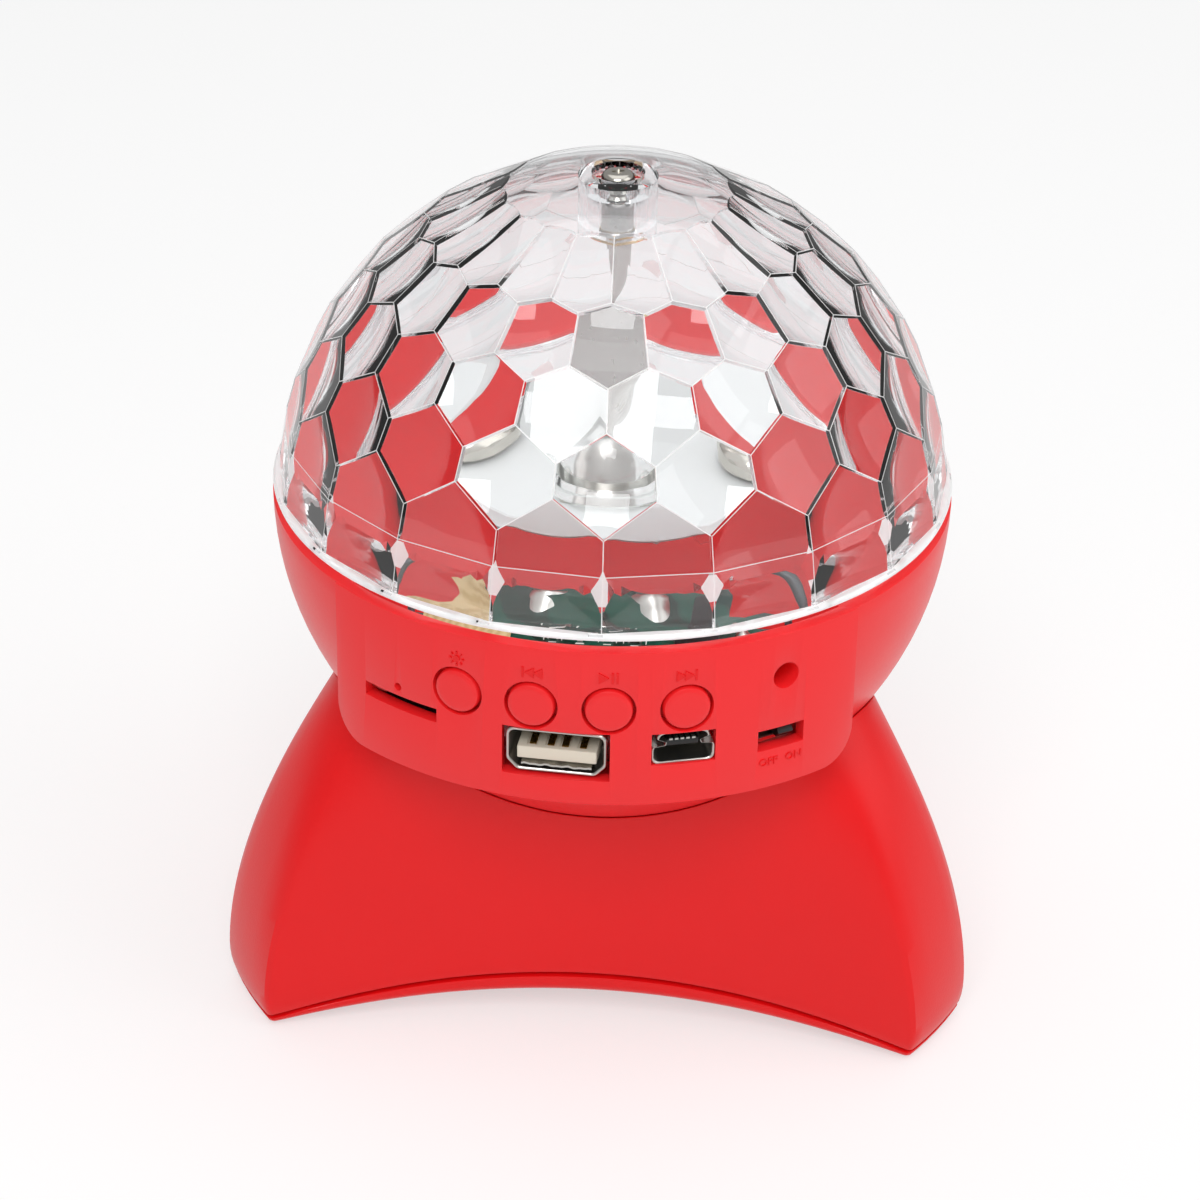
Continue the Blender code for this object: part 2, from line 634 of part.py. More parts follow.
def make_cover():
    """The bottom cover: a dished plate with a rolled edge, a grille, a speaker seat and foot wells."""
    step_inset = STAND_WALL + COVER_STEP_CLEARANCE
    top_z = STAND_TIP_Z + COVER_THICKNESS
    rings = [dished_ring(STAND_TIP_Z, DISH_RISE, EDGE_ROLL_INSET, share) for share in COVER_RING_SHARES]
    rings.append(dished_ring(STAND_TIP_Z, DISH_RISE, EDGE_ROLL_INSET))
    rings.append(dished_ring(STAND_TIP_Z + EDGE_ROLL_RISE, DISH_RISE, 0.0))
    brim_z = STAND_TIP_Z + GROOVE_TIP - GROOVE_WIDTH
    rings.append(dished_ring(brim_z, GROOVE_RISE, 0.0))
    rings.append(dished_ring(brim_z, GROOVE_RISE, step_inset))
    rings.append(dished_ring(top_z, DISH_RISE, step_inset))
    for share in reversed(COVER_RING_SHARES):
        rings.append(dished_ring(top_z, DISH_RISE, step_inset, share))
    body = skin(rings, STAND_TIP_Z + DISH_RISE, top_z + DISH_RISE)
    cover = new_object("bottom_cover", body, RED_ABS, on_axis(0.0))

    seat_in = SPEAKER_RADIUS - SPEAKER_RIM_WIDTH
    lip_in = SPEAKER_RADIUS + FIT_GAP
    lip_out = lip_in + SPEAKER_LIP_WIDTH
    seat_z = SPEAKER_SEAT_Z - FIT_GAP
    lip_z = SPEAKER_SEAT_Z + SPEAKER_LIP_HEIGHT
    root_z = seat_z - COVER_THICKNESS
    ring = turned([(seat_in, root_z), (lip_out, root_z), (lip_out, lip_z), (lip_in, lip_z),
                   (lip_in, seat_z), (seat_in, seat_z)], SPEAKER_SIDES)
    add(cover, helper(new_object("speaker_seat", ring, place=on_axis(0.0))))

    bosses = bmesh.new()
    for corner in range(3):
        place = around(COVER_SCREW_DISTANCE, TURN / 6 + corner * TURN / 3, 0.0)
        rod_between(bosses, BOSS_RADIUS, place, COVER_HEAD_CEILING_Z - SCREW_HEAD_HEIGHT / 2,
                    COVER_BOSS_TOP_Z, BOSS_SIDES)
    add(cover, helper(new_object("cover_bosses", bosses)))

    wells = bmesh.new()
    for corner in range(3):
        angle = TURN / 6 + corner * TURN / 3
        rod_between(wells, SCREW_HEAD_RADIUS + FIT_GAP, around(COVER_SCREW_DISTANCE, angle, 0.0),
                    0.0, COVER_HEAD_CEILING_Z, SCREW_SIDES)
        rod_between(wells, FOOT_RADIUS + FIT_GAP, around(FOOT_DISTANCE, angle, 0.0),
                    -CUT_OVERRUN, FOOT_HEIGHT + FIT_GAP, BOSS_SIDES)
    cut(cover, helper(new_object("cover_wells", wells)))
    cut(cover, screw_holes("cover_bores", 3, COVER_SCREW_DISTANCE, TURN / 6, STAND_TIP_Z,
                           COVER_BOSS_TOP_Z + CUT_OVERRUN))

    slots = bmesh.new()
    for index in range(GRILLE_SLOTS):
        x = GRILLE_PITCH * (index - (GRILLE_SLOTS - 1) / 2)
        length = 2 * math.sqrt(GRILLE_REACH ** 2 - x ** 2)
        add_box(slots, (GRILLE_SLOT_WIDTH, length, seat_z), (x, AXIS_Y, seat_z / 2))
    cut(cover, helper(new_object("grille_slots", slots)))
    return cover


def make_feet():
    for corner in range(3):
        profile = [(0.0, 0.0), (FOOT_RADIUS - FOOT_EDGE, 0.0), (FOOT_RADIUS, FOOT_EDGE),
                   (FOOT_RADIUS, FOOT_HEIGHT), (0.0, FOOT_HEIGHT)]
        angle = TURN / 6 + corner * TURN / 3
        new_object(f"rubber_foot_{corner + 1}", turned(profile, BOSS_SIDES), RUBBER,
                   around(FOOT_DISTANCE, angle, 0.0))


def screw_mesh(length):
    """A cross-head screw, its head's seat at z 0 and its shank pointing down."""
    rise = SCREW_HEAD_HEIGHT
    crown = SCREW_HEAD_RADIUS * 2 / 3
    point = SCREW_SHANK_RADIUS / 2
    profile = [(0.0, -length), (point, -length), (SCREW_SHANK_RADIUS, -length + SCREW_SHANK_RADIUS),
               (SCREW_SHANK_RADIUS, 0.0), (SCREW_HEAD_RADIUS, 0.0), (SCREW_HEAD_RADIUS, rise / 2),
               (crown, rise), (0.0, rise)]
    return turned(profile, SCREW_SIDES)


def make_screw(name, length, place, upside_down=False):
    screw = new_object(name, screw_mesh(length), STEEL, place)
    if upside_down:
        screw.rotation_euler = (TURN / 2, 0.0, 0.0)
    cross = bmesh.new()
    centre = (0.0, 0.0, SCREW_HEAD_HEIGHT)
    add_box(cross, (SCREW_CROSS_LENGTH, SCREW_CROSS_WIDTH, 2 * SCREW_CROSS_DEPTH), centre)
    first = helper(new_object(name + "_slot_a", cross, place=place))
    cross = bmesh.new()
    add_box(cross, (SCREW_CROSS_WIDTH, SCREW_CROSS_LENGTH, 2 * SCREW_CROSS_DEPTH), centre)
    second = helper(new_object(name + "_slot_b", cross, place=place))
    for slot in (first, second):
        slot.rotation_euler = screw.rotation_euler
        cut(screw, slot)
    return screw


def make_stand_screws():
    head_z = COVER_HEAD_CEILING_Z - FIT_GAP
    for corner in range(3):
        place = around(COVER_SCREW_DISTANCE, TURN / 6 + corner * TURN / 3, head_z)
        make_screw(f"cover_screw_{corner + 1}", COVER_SCREW_LENGTH, place, upside_down=True)
    head_z = SEAT_BOSS_BOTTOM_Z - FIT_GAP
    for corner in range(3):
        place = around(STAND_SCREW_DISTANCE, corner * TURN / 3, head_z)
        make_screw(f"stand_screw_{corner + 1}", STAND_SCREW_LENGTH, place, upside_down=True)


def make_speaker():
    seat = SPEAKER_SEAT_Z
    top = seat + SPEAKER_BASKET_HEIGHT
    rim_in = SPEAKER_RADIUS - SPEAKER_RIM_WIDTH
    sheet = SPEAKER_SHEET
    flange = seat + SPEAKER_FLANGE
    basket = turned([(rim_in, seat), (SPEAKER_RADIUS, seat), (SPEAKER_RADIUS, flange),
                     (rim_in + sheet, flange), (SPEAKER_THROAT_RADIUS + sheet, top),
                     (CONE_DUST_CAP_RADIUS, top), (CONE_DUST_CAP_RADIUS, top - sheet),
                     (SPEAKER_THROAT_RADIUS, top - sheet), (rim_in, flange)], SPEAKER_SIDES)
    new_object("speaker_basket", basket, STEEL, on_axis(0.0))

    edge = seat + CONE_SHEET
    back = edge + CONE_HEIGHT
    cap = CONE_DUST_CAP_RADIUS
    cone = turned([(0.0, edge), (cap * 2 / 3, edge + CONE_SHEET), (cap, back - CONE_SHEET),
                   (CONE_RADIUS, edge - CONE_SHEET), (rim_in - FIT_GAP, edge - CONE_SHEET),
                   (rim_in - FIT_GAP, edge), (CONE_RADIUS, edge), (cap, back), (cap * 2 / 3, back),
                   (cap / 2, edge + 2 * CONE_SHEET), (0.0, edge + CONE_SHEET)], SPEAKER_SIDES)
    new_object("speaker_cone", cone, PAPER, on_axis(0.0))

    low = top + FIT_GAP
    high = low + MAGNET_HEIGHT
    magnet = turned([(0.0, low), (MAGNET_RADIUS - MAGNET_EDGE, low), (MAGNET_RADIUS, low + MAGNET_EDGE),
                     (MAGNET_RADIUS, high - MAGNET_EDGE), (MAGNET_RADIUS - MAGNET_EDGE, high),
                     (0.0, high)], SPEAKER_SIDES)
    new_object("speaker_magnet", magnet, FERRITE, on_axis(0.0))


def panel_blank(radius, half_angle, drop, corner, top):
    """A curved block behind the panel's face, with rounded lower corners, made column by column."""
    half_width = radius * half_angle
    flat = half_width - corner
    places = []
    for step in range(PANEL_CORNER_COLUMNS):
        angle = TURN / 4 * step / PANEL_CORNER_COLUMNS
        places.append((-flat - corner * math.cos(angle), -drop + corner * (1 - math.sin(angle))))
    for step in range(PANEL_COLUMNS + 1):
        places.append((flat * (2 * step / PANEL_COLUMNS - 1), -drop))
    for step in range(1, PANEL_CORNER_COLUMNS + 1):
        angle = TURN / 4 * (1 - step / PANEL_CORNER_COLUMNS)
        places.append((flat + corner * math.cos(angle), -drop + corner * (1 - math.sin(angle))))
    bm = bmesh.new()
    columns = []
    for along, low in places:
        angle = along / radius
        column = []
        for reach, z in ((radius, top), (radius, low), (radius - PANEL_DEPTH, low),
                         (radius - PANEL_DEPTH, top)):
            column.append(bm.verts.new((reach * math.sin(angle), -reach * math.cos(angle), z)))
        columns.append(column)
    for left, right in zip(columns, columns[1:]):
        for index in range(4):
            after = (index + 1) % 4
            bm.faces.new((left[index], left[after], right[after], right[index]))
    bm.faces.new(columns[0])
    bm.faces.new(columns[-1])
    finish_mesh(bm)
    return bm


def make_bowl():
    """The red lower half of the ball, with the control panel, its openings and the inner bosses."""
    above = 2 * CUT_OVERRUN
    outside = turned([(0.0, above), *arc(BALL_RADIUS, -TURN / 4, 0.0, BALL_RINGS),
                      (BALL_RADIUS, above)], BALL_SIDES)
    bowl = new_object("bowl_shell", outside, RED_ABS, on_axis(BALL_CENTRE_Z))
    face = panel_blank(PANEL_RADIUS, PANEL_HALF_ANGLE, PANEL_DROP, PANEL_CORNER, above)
    add(bowl, helper(new_object("panel_block", face, place=on_axis(BALL_CENTRE_Z))))

    higher = above + CUT_OVERRUN
    hollow = turned([(0.0, higher), *arc(HOLLOW_RADIUS, -TURN / 4, 0.0, HOLLOW_RINGS),
                     (HOLLOW_RADIUS, higher)], HOLLOW_SIDES)
    cut(bowl, helper(new_object("bowl_hollow", hollow, place=on_axis(BALL_CENTRE_Z))))
    inner_angle = PANEL_HALF_ANGLE - SHELL_WALL / BALL_RADIUS
    back = panel_blank(PANEL_RADIUS - SHELL_WALL, inner_angle, PANEL_DROP - SHELL_WALL,
                       PANEL_CORNER - SHELL_WALL, higher)
    cut(bowl, helper(new_object("panel_hollow", back, place=on_axis(BALL_CENTRE_Z))))

    bosses = bmesh.new()
    for index in range(3):
        place = around(STAND_SCREW_DISTANCE, index * TURN / 3, 0.0)
        low = BALL_CENTRE_Z - math.sqrt(HOLLOW_RADIUS ** 2 - STAND_SCREW_DISTANCE ** 2) - SHELL_WALL / 2
        top = BALL_CENTRE_Z - BALL_RADIUS + BOWL_BOSS_RISE
        rod_between(bosses, BOSS_RADIUS, place, low, top, BOSS_SIDES)
        place = around(LAMP_POST_DISTANCE, TURN / 6 + index * TURN / 3, 0.0)
        low = BALL_CENTRE_Z - math.sqrt(HOLLOW_RADIUS ** 2 - LAMP_POST_DISTANCE ** 2) - SHELL_WALL / 2
        rod_between(bosses, BOSS_RADIUS, place, low, LAMP_LEG_Z - FIT_GAP, BOSS_SIDES)
    reach = math.hypot(PCB_SCREW_X, PCB_SCREW_DISTANCE)
    low = BALL_CENTRE_Z - math.sqrt(HOLLOW_RADIUS ** 2 - reach ** 2) - SHELL_WALL / 2
    for x in (-PCB_SCREW_X, PCB_SCREW_X):
        rod_between(bosses, BOSS_RADIUS, (x, AXIS_Y - PCB_SCREW_DISTANCE), low,
                    PCB_BOTTOM_Z - FIT_GAP, BOSS_SIDES)
    rib_top = BALL_CENTRE_Z - BATTERY_DROP - FIT_GAP
    rib_low = BALL_CENTRE_Z - math.sqrt(HOLLOW_RADIUS ** 2 - BATTERY_DISTANCE ** 2) - SHELL_WALL
    for x in (-BATTERY_RIB_X, BATTERY_RIB_X):
        add_box(bosses, (BATTERY_RIB_WIDTH, BATTERY_RIB_LENGTH, rib_top - rib_low),
                (x, AXIS_Y - BATTERY_DISTANCE, (rib_top + rib_low) / 2))
    bowl_bosses = helper(new_object("bowl_bosses", bosses))
    inside_wall = ball(BALL_RADIUS - SHELL_WALL / 2, BALL_SIDES, BALL_RINGS)
    combine(bowl_bosses, helper(new_object("boss_limit", inside_wall, place=on_axis(BALL_CENTRE_Z))),
            "INTERSECT")
    add(bowl, bowl_bosses)

    trim = box((4 * BALL_RADIUS, 4 * BALL_RADIUS, 4 * above), (0.0, 0.0, 2 * above))
    cut(bowl, helper(new_object("rim_trim", trim, place=on_axis(BALL_CENTRE_Z))))

    bores = bmesh.new()
    for index in range(3):
        place = around(LAMP_POST_DISTANCE, TURN / 6 + index * TURN / 3, 0.0)
        rod_between(bores, BORE_RADIUS, place, LAMP_TOP_Z - LAMP_SCREW_LENGTH - CUT_OVERRUN,
                    LAMP_LEG_Z + CUT_OVERRUN, SCREW_SIDES)
    for x in (-PCB_SCREW_X, PCB_SCREW_X):
        rod_between(bores, BORE_RADIUS, (x, AXIS_Y - PCB_SCREW_DISTANCE),
                    PCB_TOP_Z - PCB_SCREW_LENGTH - CUT_OVERRUN, PCB_TOP_Z, SCREW_SIDES)
    cut(bowl, helper(new_object("bowl_bores", bores)))
    cut(bowl, bpy.data.objects["stand_screw_bores"])
    cut(bowl, bpy.data.objects["cable_hole"])
    cut(bowl, make_panel_openings())
    return bowl


def make_panel_openings():
    through = 4 * SHELL_WALL
    bm = bmesh.new()
    lying = Matrix.Rotation(TURN / 4, 4, "X")
    for angle in BUTTON_ANGLES:
        add_rod(bm, BUTTON_HOLE_RADIUS, through, panel_frame(angle, BUTTON_DROP) @ lying, BUTTON_SIDES)
    add_rod(bm, LIGHT_HOLE_RADIUS, through, panel_frame(LIGHT_HOLE_ANGLE, LIGHT_HOLE_DROP) @ lying,
            PIN_SIDES)
    add_rod(bm, ROUND_HOLE_RADIUS, through, panel_frame(ROUND_HOLE_ANGLE, ROUND_HOLE_DROP) @ lying,
            BOSS_SIDES)
    slots = ((CARD_ANGLE, CARD_DROP, CARD_WIDTH, CARD_HEIGHT),
             (USB_ANGLE, USB_DROP, USB_OPENING_WIDTH, USB_OPENING_HEIGHT),
             (MINI_ANGLE, MINI_DROP, MINI_OPENING_WIDTH, MINI_OPENING_HEIGHT),
             (SWITCH_ANGLE, SWITCH_DROP, SWITCH_OPENING_WIDTH, SWITCH_OPENING_HEIGHT))
    for angle, drop, width, height in slots:
        shape = panel_frame(angle, drop) @ Matrix.Diagonal((width, through, height, 1.0))
        bmesh.ops.create_cube(bm, size=1.0, matrix=shape)
    return helper(new_object("panel_openings", bm))


def lying_turned(profile, sides):
    """A turned piece whose axis points along Y: the profile's height runs into the panel."""
    bm = turned(profile, sides)
    bmesh.ops.rotate(bm, verts=bm.verts, cent=(0, 0, 0), matrix=Matrix.Rotation(-TURN / 4, 3, "X"))
    return bm


def make_buttons():
    """Four round push buttons, each with a flange behind the wall and a stem to its switch."""
    back = BUTTON_FLANGE_SET_BACK + BUTTON_FLANGE_THICKNESS
    profile = [(0.0, -BUTTON_PROUD), (BUTTON_RADIUS - BUTTON_EDGE, -BUTTON_PROUD),
               (BUTTON_RADIUS, BUTTON_EDGE - BUTTON_PROUD), (BUTTON_RADIUS, BUTTON_FLANGE_SET_BACK),
               (BUTTON_FLANGE_RADIUS, BUTTON_FLANGE_SET_BACK), (BUTTON_FLANGE_RADIUS, back),
               (BUTTON_STEM_RADIUS, back), (BUTTON_STEM_RADIUS, back + BUTTON_STEM_LENGTH),
               (0.0, back + BUTTON_STEM_LENGTH)]
    for number, (name, angle) in enumerate(zip(BUTTON_NAMES, BUTTON_ANGLES)):
        panel_object(name, lying_turned(profile, BUTTON_SIDES), RED_PANEL, angle, BUTTON_DROP)
        bottom = PCB_TOP_Z + FIT_GAP - (BALL_CENTRE_Z - BUTTON_DROP)
        body = box((TACT_WIDTH, TACT_DEPTH, TACT_HEIGHT),
                   (0.0, TACT_SET_BACK + TACT_DEPTH / 2, bottom + TACT_HEIGHT / 2))
        switch = panel_object(f"tact_switch_{number + 1}", body, BLACK_PLASTIC, angle, BUTTON_DROP)
        bore = bmesh.new()
        depth = 2 * TACT_BORE_DEPTH
        add_rod(bore, BUTTON_STEM_RADIUS + FIT_GAP, depth,
                Matrix.Translation((0.0, TACT_SET_BACK, 0.0)) @ Matrix.Rotation(TURN / 4, 4, "X"),
                SCREW_SIDES)
        hole = panel_object(f"tact_bore_{number + 1}", bore, None, angle, BUTTON_DROP)
        cut(switch, helper(hole))


def sleeve(width, foot_width, height, depth, sheet, set_back):
    """A connector shell, open towards the panel and closed behind, its foot narrower than its top."""
    bm = bmesh.new()
    rows = []
    for inset, y in ((0.0, set_back + depth), (0.0, set_back), (sheet, set_back),
                     (sheet, set_back + depth - sheet)):
        half = width / 2 - inset
        foot = foot_width / 2 - inset
        top = height / 2 - inset
        corners = ((-half, top), (half, top), (half, 0.0), (foot, -top), (-foot, -top), (-half, 0.0))
        rows.append([bm.verts.new((x, y, z)) for x, z in corners])
    for outer, inner in zip(rows, rows[1:]):
        for index in range(6):
            after = (index + 1) % 6
            bm.faces.new((outer[index], outer[after], inner[after], inner[index]))
    bm.faces.new(rows[0])
    bm.faces.new(rows[-1])
    finish_mesh(bm)
    return bm


def make_connectors():
    shell = sleeve(USB_WIDTH, USB_WIDTH, USB_HEIGHT, USB_DEPTH, USB_SHEET, USB_SET_BACK)
    panel_object("usb_shell", shell, TIN, USB_ANGLE, USB_DROP)
    tongue = box((USB_TONGUE_WIDTH, USB_TONGUE_LENGTH, USB_TONGUE_THICKNESS),
                 (0.0, USB_TONGUE_SET_BACK + USB_TONGUE_LENGTH / 2, -USB_TONGUE_BELOW_MIDDLE))
    panel_object("usb_tongue", tongue, SOCKET_WHITE, USB_ANGLE, USB_DROP)

    shell = sleeve(MINI_WIDTH, MINI_FOOT_WIDTH, MINI_HEIGHT, MINI_DEPTH, MINI_SHEET, MINI_SET_BACK)
    panel_object("mini_usb_shell", shell, TIN, MINI_ANGLE, MINI_DROP)
    tongue = box((MINI_TONGUE_WIDTH, MINI_TONGUE_LENGTH, MINI_TONGUE_THICKNESS),
                 (0.0, MINI_TONGUE_SET_BACK + MINI_TONGUE_LENGTH / 2, 0.0))
    panel_object("mini_usb_tongue", tongue, BLACK_PLASTIC, MINI_ANGLE, MINI_DROP)

    top = PCB_BOTTOM_Z - FIT_GAP - (BALL_CENTRE_Z - CARD_DROP)
    middle = top - CARD_SOCKET_HEIGHT / 2
    body = box((CARD_SOCKET_WIDTH, CARD_SOCKET_DEPTH, CARD_SOCKET_HEIGHT),
               (0.0, CARD_SOCKET_SET_BACK + CARD_SOCKET_DEPTH / 2, middle))
    socket = panel_object("card_socket", body, TIN, CARD_ANGLE, CARD_DROP)
    slot = box((CARD_SLOT_WIDTH, 2 * CARD_SLOT_DEPTH, CARD_SLOT_HEIGHT),
               (0.0, CARD_SOCKET_SET_BACK, middle))
    cut(socket, helper(panel_object("card_slot", slot, None, CARD_ANGLE, CARD_DROP)))


def make_power_switch():
    top = PCB_BOTTOM_Z - FIT_GAP - (BALL_CENTRE_Z - SWITCH_DROP)
    body = box((SWITCH_BODY_WIDTH, SWITCH_BODY_DEPTH, SWITCH_BODY_HEIGHT),
               (0.0, SWITCH_SET_BACK + SWITCH_BODY_DEPTH / 2, top - SWITCH_BODY_HEIGHT / 2))
    switch = panel_object("slide_switch", body, TIN, SWITCH_ANGLE, SWITCH_DROP)
    slot_width = LEVER_WIDTH + SWITCH_TRAVEL + 2 * FIT_GAP
    slot = box((slot_width, 2 * SWITCH_SLOT_DEPTH, LEVER_HEIGHT + 2 * FIT_GAP),
               (0.0, SWITCH_SET_BACK, 0.0))
    cut(switch, helper(panel_object("lever_slot", slot, None, SWITCH_ANGLE, SWITCH_DROP)))

    right = (SWITCH_TRAVEL + LEVER_WIDTH) / 2
    left = right - LEVER_WIDTH
    low = -LEVER_HEIGHT / 2
    high = LEVER_HEIGHT / 2
    front = LEVER_TIP_SET_BACK
    back = LEVER_FOOT_SET_BACK
    bm = bmesh.new()
    outline = ((front + LEVER_SLOPE, low), (front, 0.0), (front + LEVER_SLOPE, high), (back, high),
               (back, low))
    sides = []
    for x in (left, right):
        sides.append([bm.verts.new((x, y, z)) for y, z in outline])
    count = len(outline)
    for index in range(count):
        after = (index + 1) % count
        bm.faces.new((sides[0][index], sides[0][after], sides[1][after], sides[1][index]))
    bm.faces.new(sides[0])
    bm.faces.new(sides[1])
    finish_mesh(bm)
    panel_object("power_lever", bm, BLACK_PLASTIC, SWITCH_ANGLE, SWITCH_DROP)


def make_board():
    """The main board: a segment of a disc, its arc behind the panel."""
    widest = math.acos(PCB_BACK_DISTANCE / PCB_RADIUS)
    outline = []
    for step in range(PCB_ARC_STEPS + 1):
        angle = widest * (2 * step / PCB_ARC_STEPS - 1)
        outline.append((PCB_RADIUS * math.sin(angle), -PCB_RADIUS * math.cos(angle)))
    board = new_object("main_pcb", prism(outline, 0.0, PCB_THICKNESS), GREEN_BOARD,
                       on_axis(PCB_BOTTOM_Z))
    holes = bmesh.new()
    for number, x in enumerate((-PCB_SCREW_X, PCB_SCREW_X)):
        place = (x, AXIS_Y - PCB_SCREW_DISTANCE, PCB_TOP_Z + FIT_GAP)
        rod_between(holes, BORE_RADIUS, place, PCB_BOTTOM_Z - CUT_OVERRUN, PCB_TOP_Z + CUT_OVERRUN,
                    SCREW_SIDES)
        make_screw(f"pcb_screw_{number + 1}", PCB_SCREW_LENGTH, place)
    cut(board, helper(new_object("pcb_holes", holes)))

    on_board = PCB_TOP_Z + FIT_GAP
    new_object("bluetooth_chip", box((CHIP_LENGTH, CHIP_WIDTH, CHIP_THICKNESS),
                                     (0.0, 0.0, CHIP_THICKNESS / 2)),
               BLACK_PLASTIC, (CHIP_X, AXIS_Y - CHIP_DISTANCE, on_board))
    new_object("wire_tape", box((TAPE_LENGTH, TAPE_WIDTH, TAPE_THICKNESS),
                                (0.0, 0.0, TAPE_THICKNESS / 2)),
               TAPE, (TAPE_X, AXIS_Y - TAPE_DISTANCE, on_board))


def make_lamp():
    """The white housing, the motor in its cradle, the lamp board and its three lamps."""
    skirt = BALL_CENTRE_Z + LAMP_SKIRT_BOTTOM
    inner = LAMP_RADIUS - LAMP_WALL
    body = turned([(LAMP_HOLE_RADIUS, LAMP_UNDER_Z), (inner, LAMP_UNDER_Z), (inner, skirt),
                   (LAMP_RADIUS, skirt), (LAMP_RADIUS, LAMP_TOP_Z - LAMP_CORNER),
                   (LAMP_RADIUS - LAMP_CORNER, LAMP_TOP_Z), (LAMP_HOLE_RADIUS, LAMP_TOP_Z)], LAMP_SIDES)
    housing = new_object("lamp_housing", body, WHITE_ABS, on_axis(0.0))
    legs = bmesh.new()
    bores = bmesh.new()
    for index in range(3):
        angle = TURN / 6 + index * TURN / 3
        place = around(LAMP_POST_DISTANCE, angle, 0.0)
        rod_between(legs, BOSS_RADIUS, place, LAMP_LEG_Z, LAMP_UNDER_Z + LAMP_PLATE / 2, BOSS_SIDES)
        rod_between(bores, BORE_RADIUS, place, LAMP_LEG_Z - CUT_OVERRUN, LAMP_TOP_Z + CUT_OVERRUN,
                    SCREW_SIDES)
    cradle_x = MOTOR_WIDTH / 2 + FIT_GAP + MOTOR_CRADLE_WALL / 2
    for x in (-cradle_x, cradle_x):
        add_box(legs, (MOTOR_CRADLE_WALL, MOTOR_DEPTH, MOTOR_CRADLE_HEIGHT + LAMP_PLATE / 2),
                (x, AXIS_Y, LAMP_UNDER_Z - (MOTOR_CRADLE_HEIGHT - LAMP_PLATE / 2) / 2))
    add(housing, helper(new_object("lamp_legs", legs)))
    cut(housing, helper(new_object("lamp_bores", bores)))

    board_z = LAMP_TOP_Z + FIT_GAP
    board = turned([(LED_BOARD_HOLE_RADIUS, 0.0), (LED_BOARD_RADIUS, 0.0),
                    (LED_BOARD_RADIUS, LED_BOARD_THICKNESS),
                    (LED_BOARD_HOLE_RADIUS, LED_BOARD_THICKNESS)], LAMP_SIDES)
    lamp_board = new_object("led_board", board, WHITE_ABS, on_axis(board_z))
    cut(lamp_board, bpy.data.objects["lamp_bores"])
    head_z = board_z + LED_BOARD_THICKNESS + FIT_GAP
    for index in range(3):
        angle = TURN / 6 + index * TURN / 3
        make_screw(f"lamp_screw_{index + 1}", LAMP_SCREW_LENGTH,
                   around(LAMP_POST_DISTANCE, angle, head_z))

    for index, name in enumerate(LED_NAMES):
        lens = arc(LED_LENS_RADIUS, 0.0, TURN / 4, 5)
        profile = [(0.0, 0.0), (LED_BASE_RADIUS, 0.0), (LED_BASE_RADIUS, LED_BASE_HEIGHT)]
        profile += [(x, LED_BASE_HEIGHT + z) for x, z in lens]
        new_object(name, turned(profile, BOSS_SIDES), CLEAR_EPOXY,
                   around(LED_DISTANCE, index * TURN / 3, head_z))


def make_motor():
    """A small gear motor: a gearbox block over a round can. Its shaft turns with the dome."""
    half = MOTOR_WIDTH / 2
    deep = MOTOR_DEPTH / 2
    outline = [(-half, -deep), (half, -deep), (half, deep), (-half, deep)]
    gearbox = prism(outline, MOTOR_TOP_Z - GEARBOX_HEIGHT, MOTOR_TOP_Z)
    motor = new_object("gear_motor", gearbox, STEEL, on_axis(0.0))
    can = bmesh.new()
    bottom = MOTOR_TOP_Z - GEARBOX_HEIGHT - MOTOR_CAN_HEIGHT
    rod_between(can, MOTOR_CAN_RADIUS, on_axis(0.0), bottom, MOTOR_TOP_Z - GEARBOX_HEIGHT / 2,
                HUB_SIDES)
    add(motor, helper(new_object("motor_can", can)))
    bore = bmesh.new()
    rod_between(bore, MOTOR_SHAFT_RADIUS + FIT_GAP, on_axis(0.0), MOTOR_TOP_Z - MOTOR_BORE_DEPTH,
                MOTOR_TOP_Z + CUT_OVERRUN, HUB_SIDES)
    cut(motor, helper(new_object("motor_bore", bore)))

    top = BALL_CENTRE_Z + MOTOR_SHAFT_TOP
    shaft = bmesh.new()
    rod_between(shaft, MOTOR_SHAFT_RADIUS, (0.0, 0.0), MOTOR_TOP_Z - MOTOR_BORE_DEPTH + FIT_GAP, top,
                HUB_SIDES)
    new_object("motor_shaft", shaft, STEEL, on_axis(0.0))

    foot = LAMP_TOP_Z + LED_BOARD_THICKNESS + FIT_GAP
    column_top = BALL_CENTRE_Z + COLUMN_TOP
    shoulder = column_top - COLUMN_EDGE
    spindle_top = BALL_CENTRE_Z + CAP_RADIUS - COUNTERBORE_DEPTH - HUB_FLOOR - FIT_GAP
    shaft_bore = MOTOR_SHAFT_RADIUS + FIT_GAP
    screw_bore = SCREW_SHANK_RADIUS + FIT_GAP
    screw_floor = spindle_top - DOME_SCREW_LENGTH
    ceiling = top + FIT_GAP
    column = turned([(shaft_bore, foot), (COLUMN_RADIUS, foot), (COLUMN_RADIUS, shoulder),
                     (COLUMN_RADIUS - COLUMN_EDGE, column_top), (SPINDLE_RADIUS, column_top),
                     (SPINDLE_RADIUS, spindle_top), (screw_bore, spindle_top), (screw_bore, screw_floor),
                     (0.0, screw_floor), (0.0, ceiling), (shaft_bore, ceiling)], HUB_SIDES)
    new_object("drive_column", column, STEEL, on_axis(0.0))

    low = BALL_CENTRE_Z + HUB_BOTTOM
    high = low + INSERT_LENGTH
    bore_in = SPINDLE_RADIUS + FIT_GAP
    insert = turned([(bore_in, low), (INSERT_RADIUS, low), (INSERT_RADIUS, high), (bore_in, high)],
                    HUB_SIDES)
    new_object("brass_insert", insert, BRASS, on_axis(0.0))


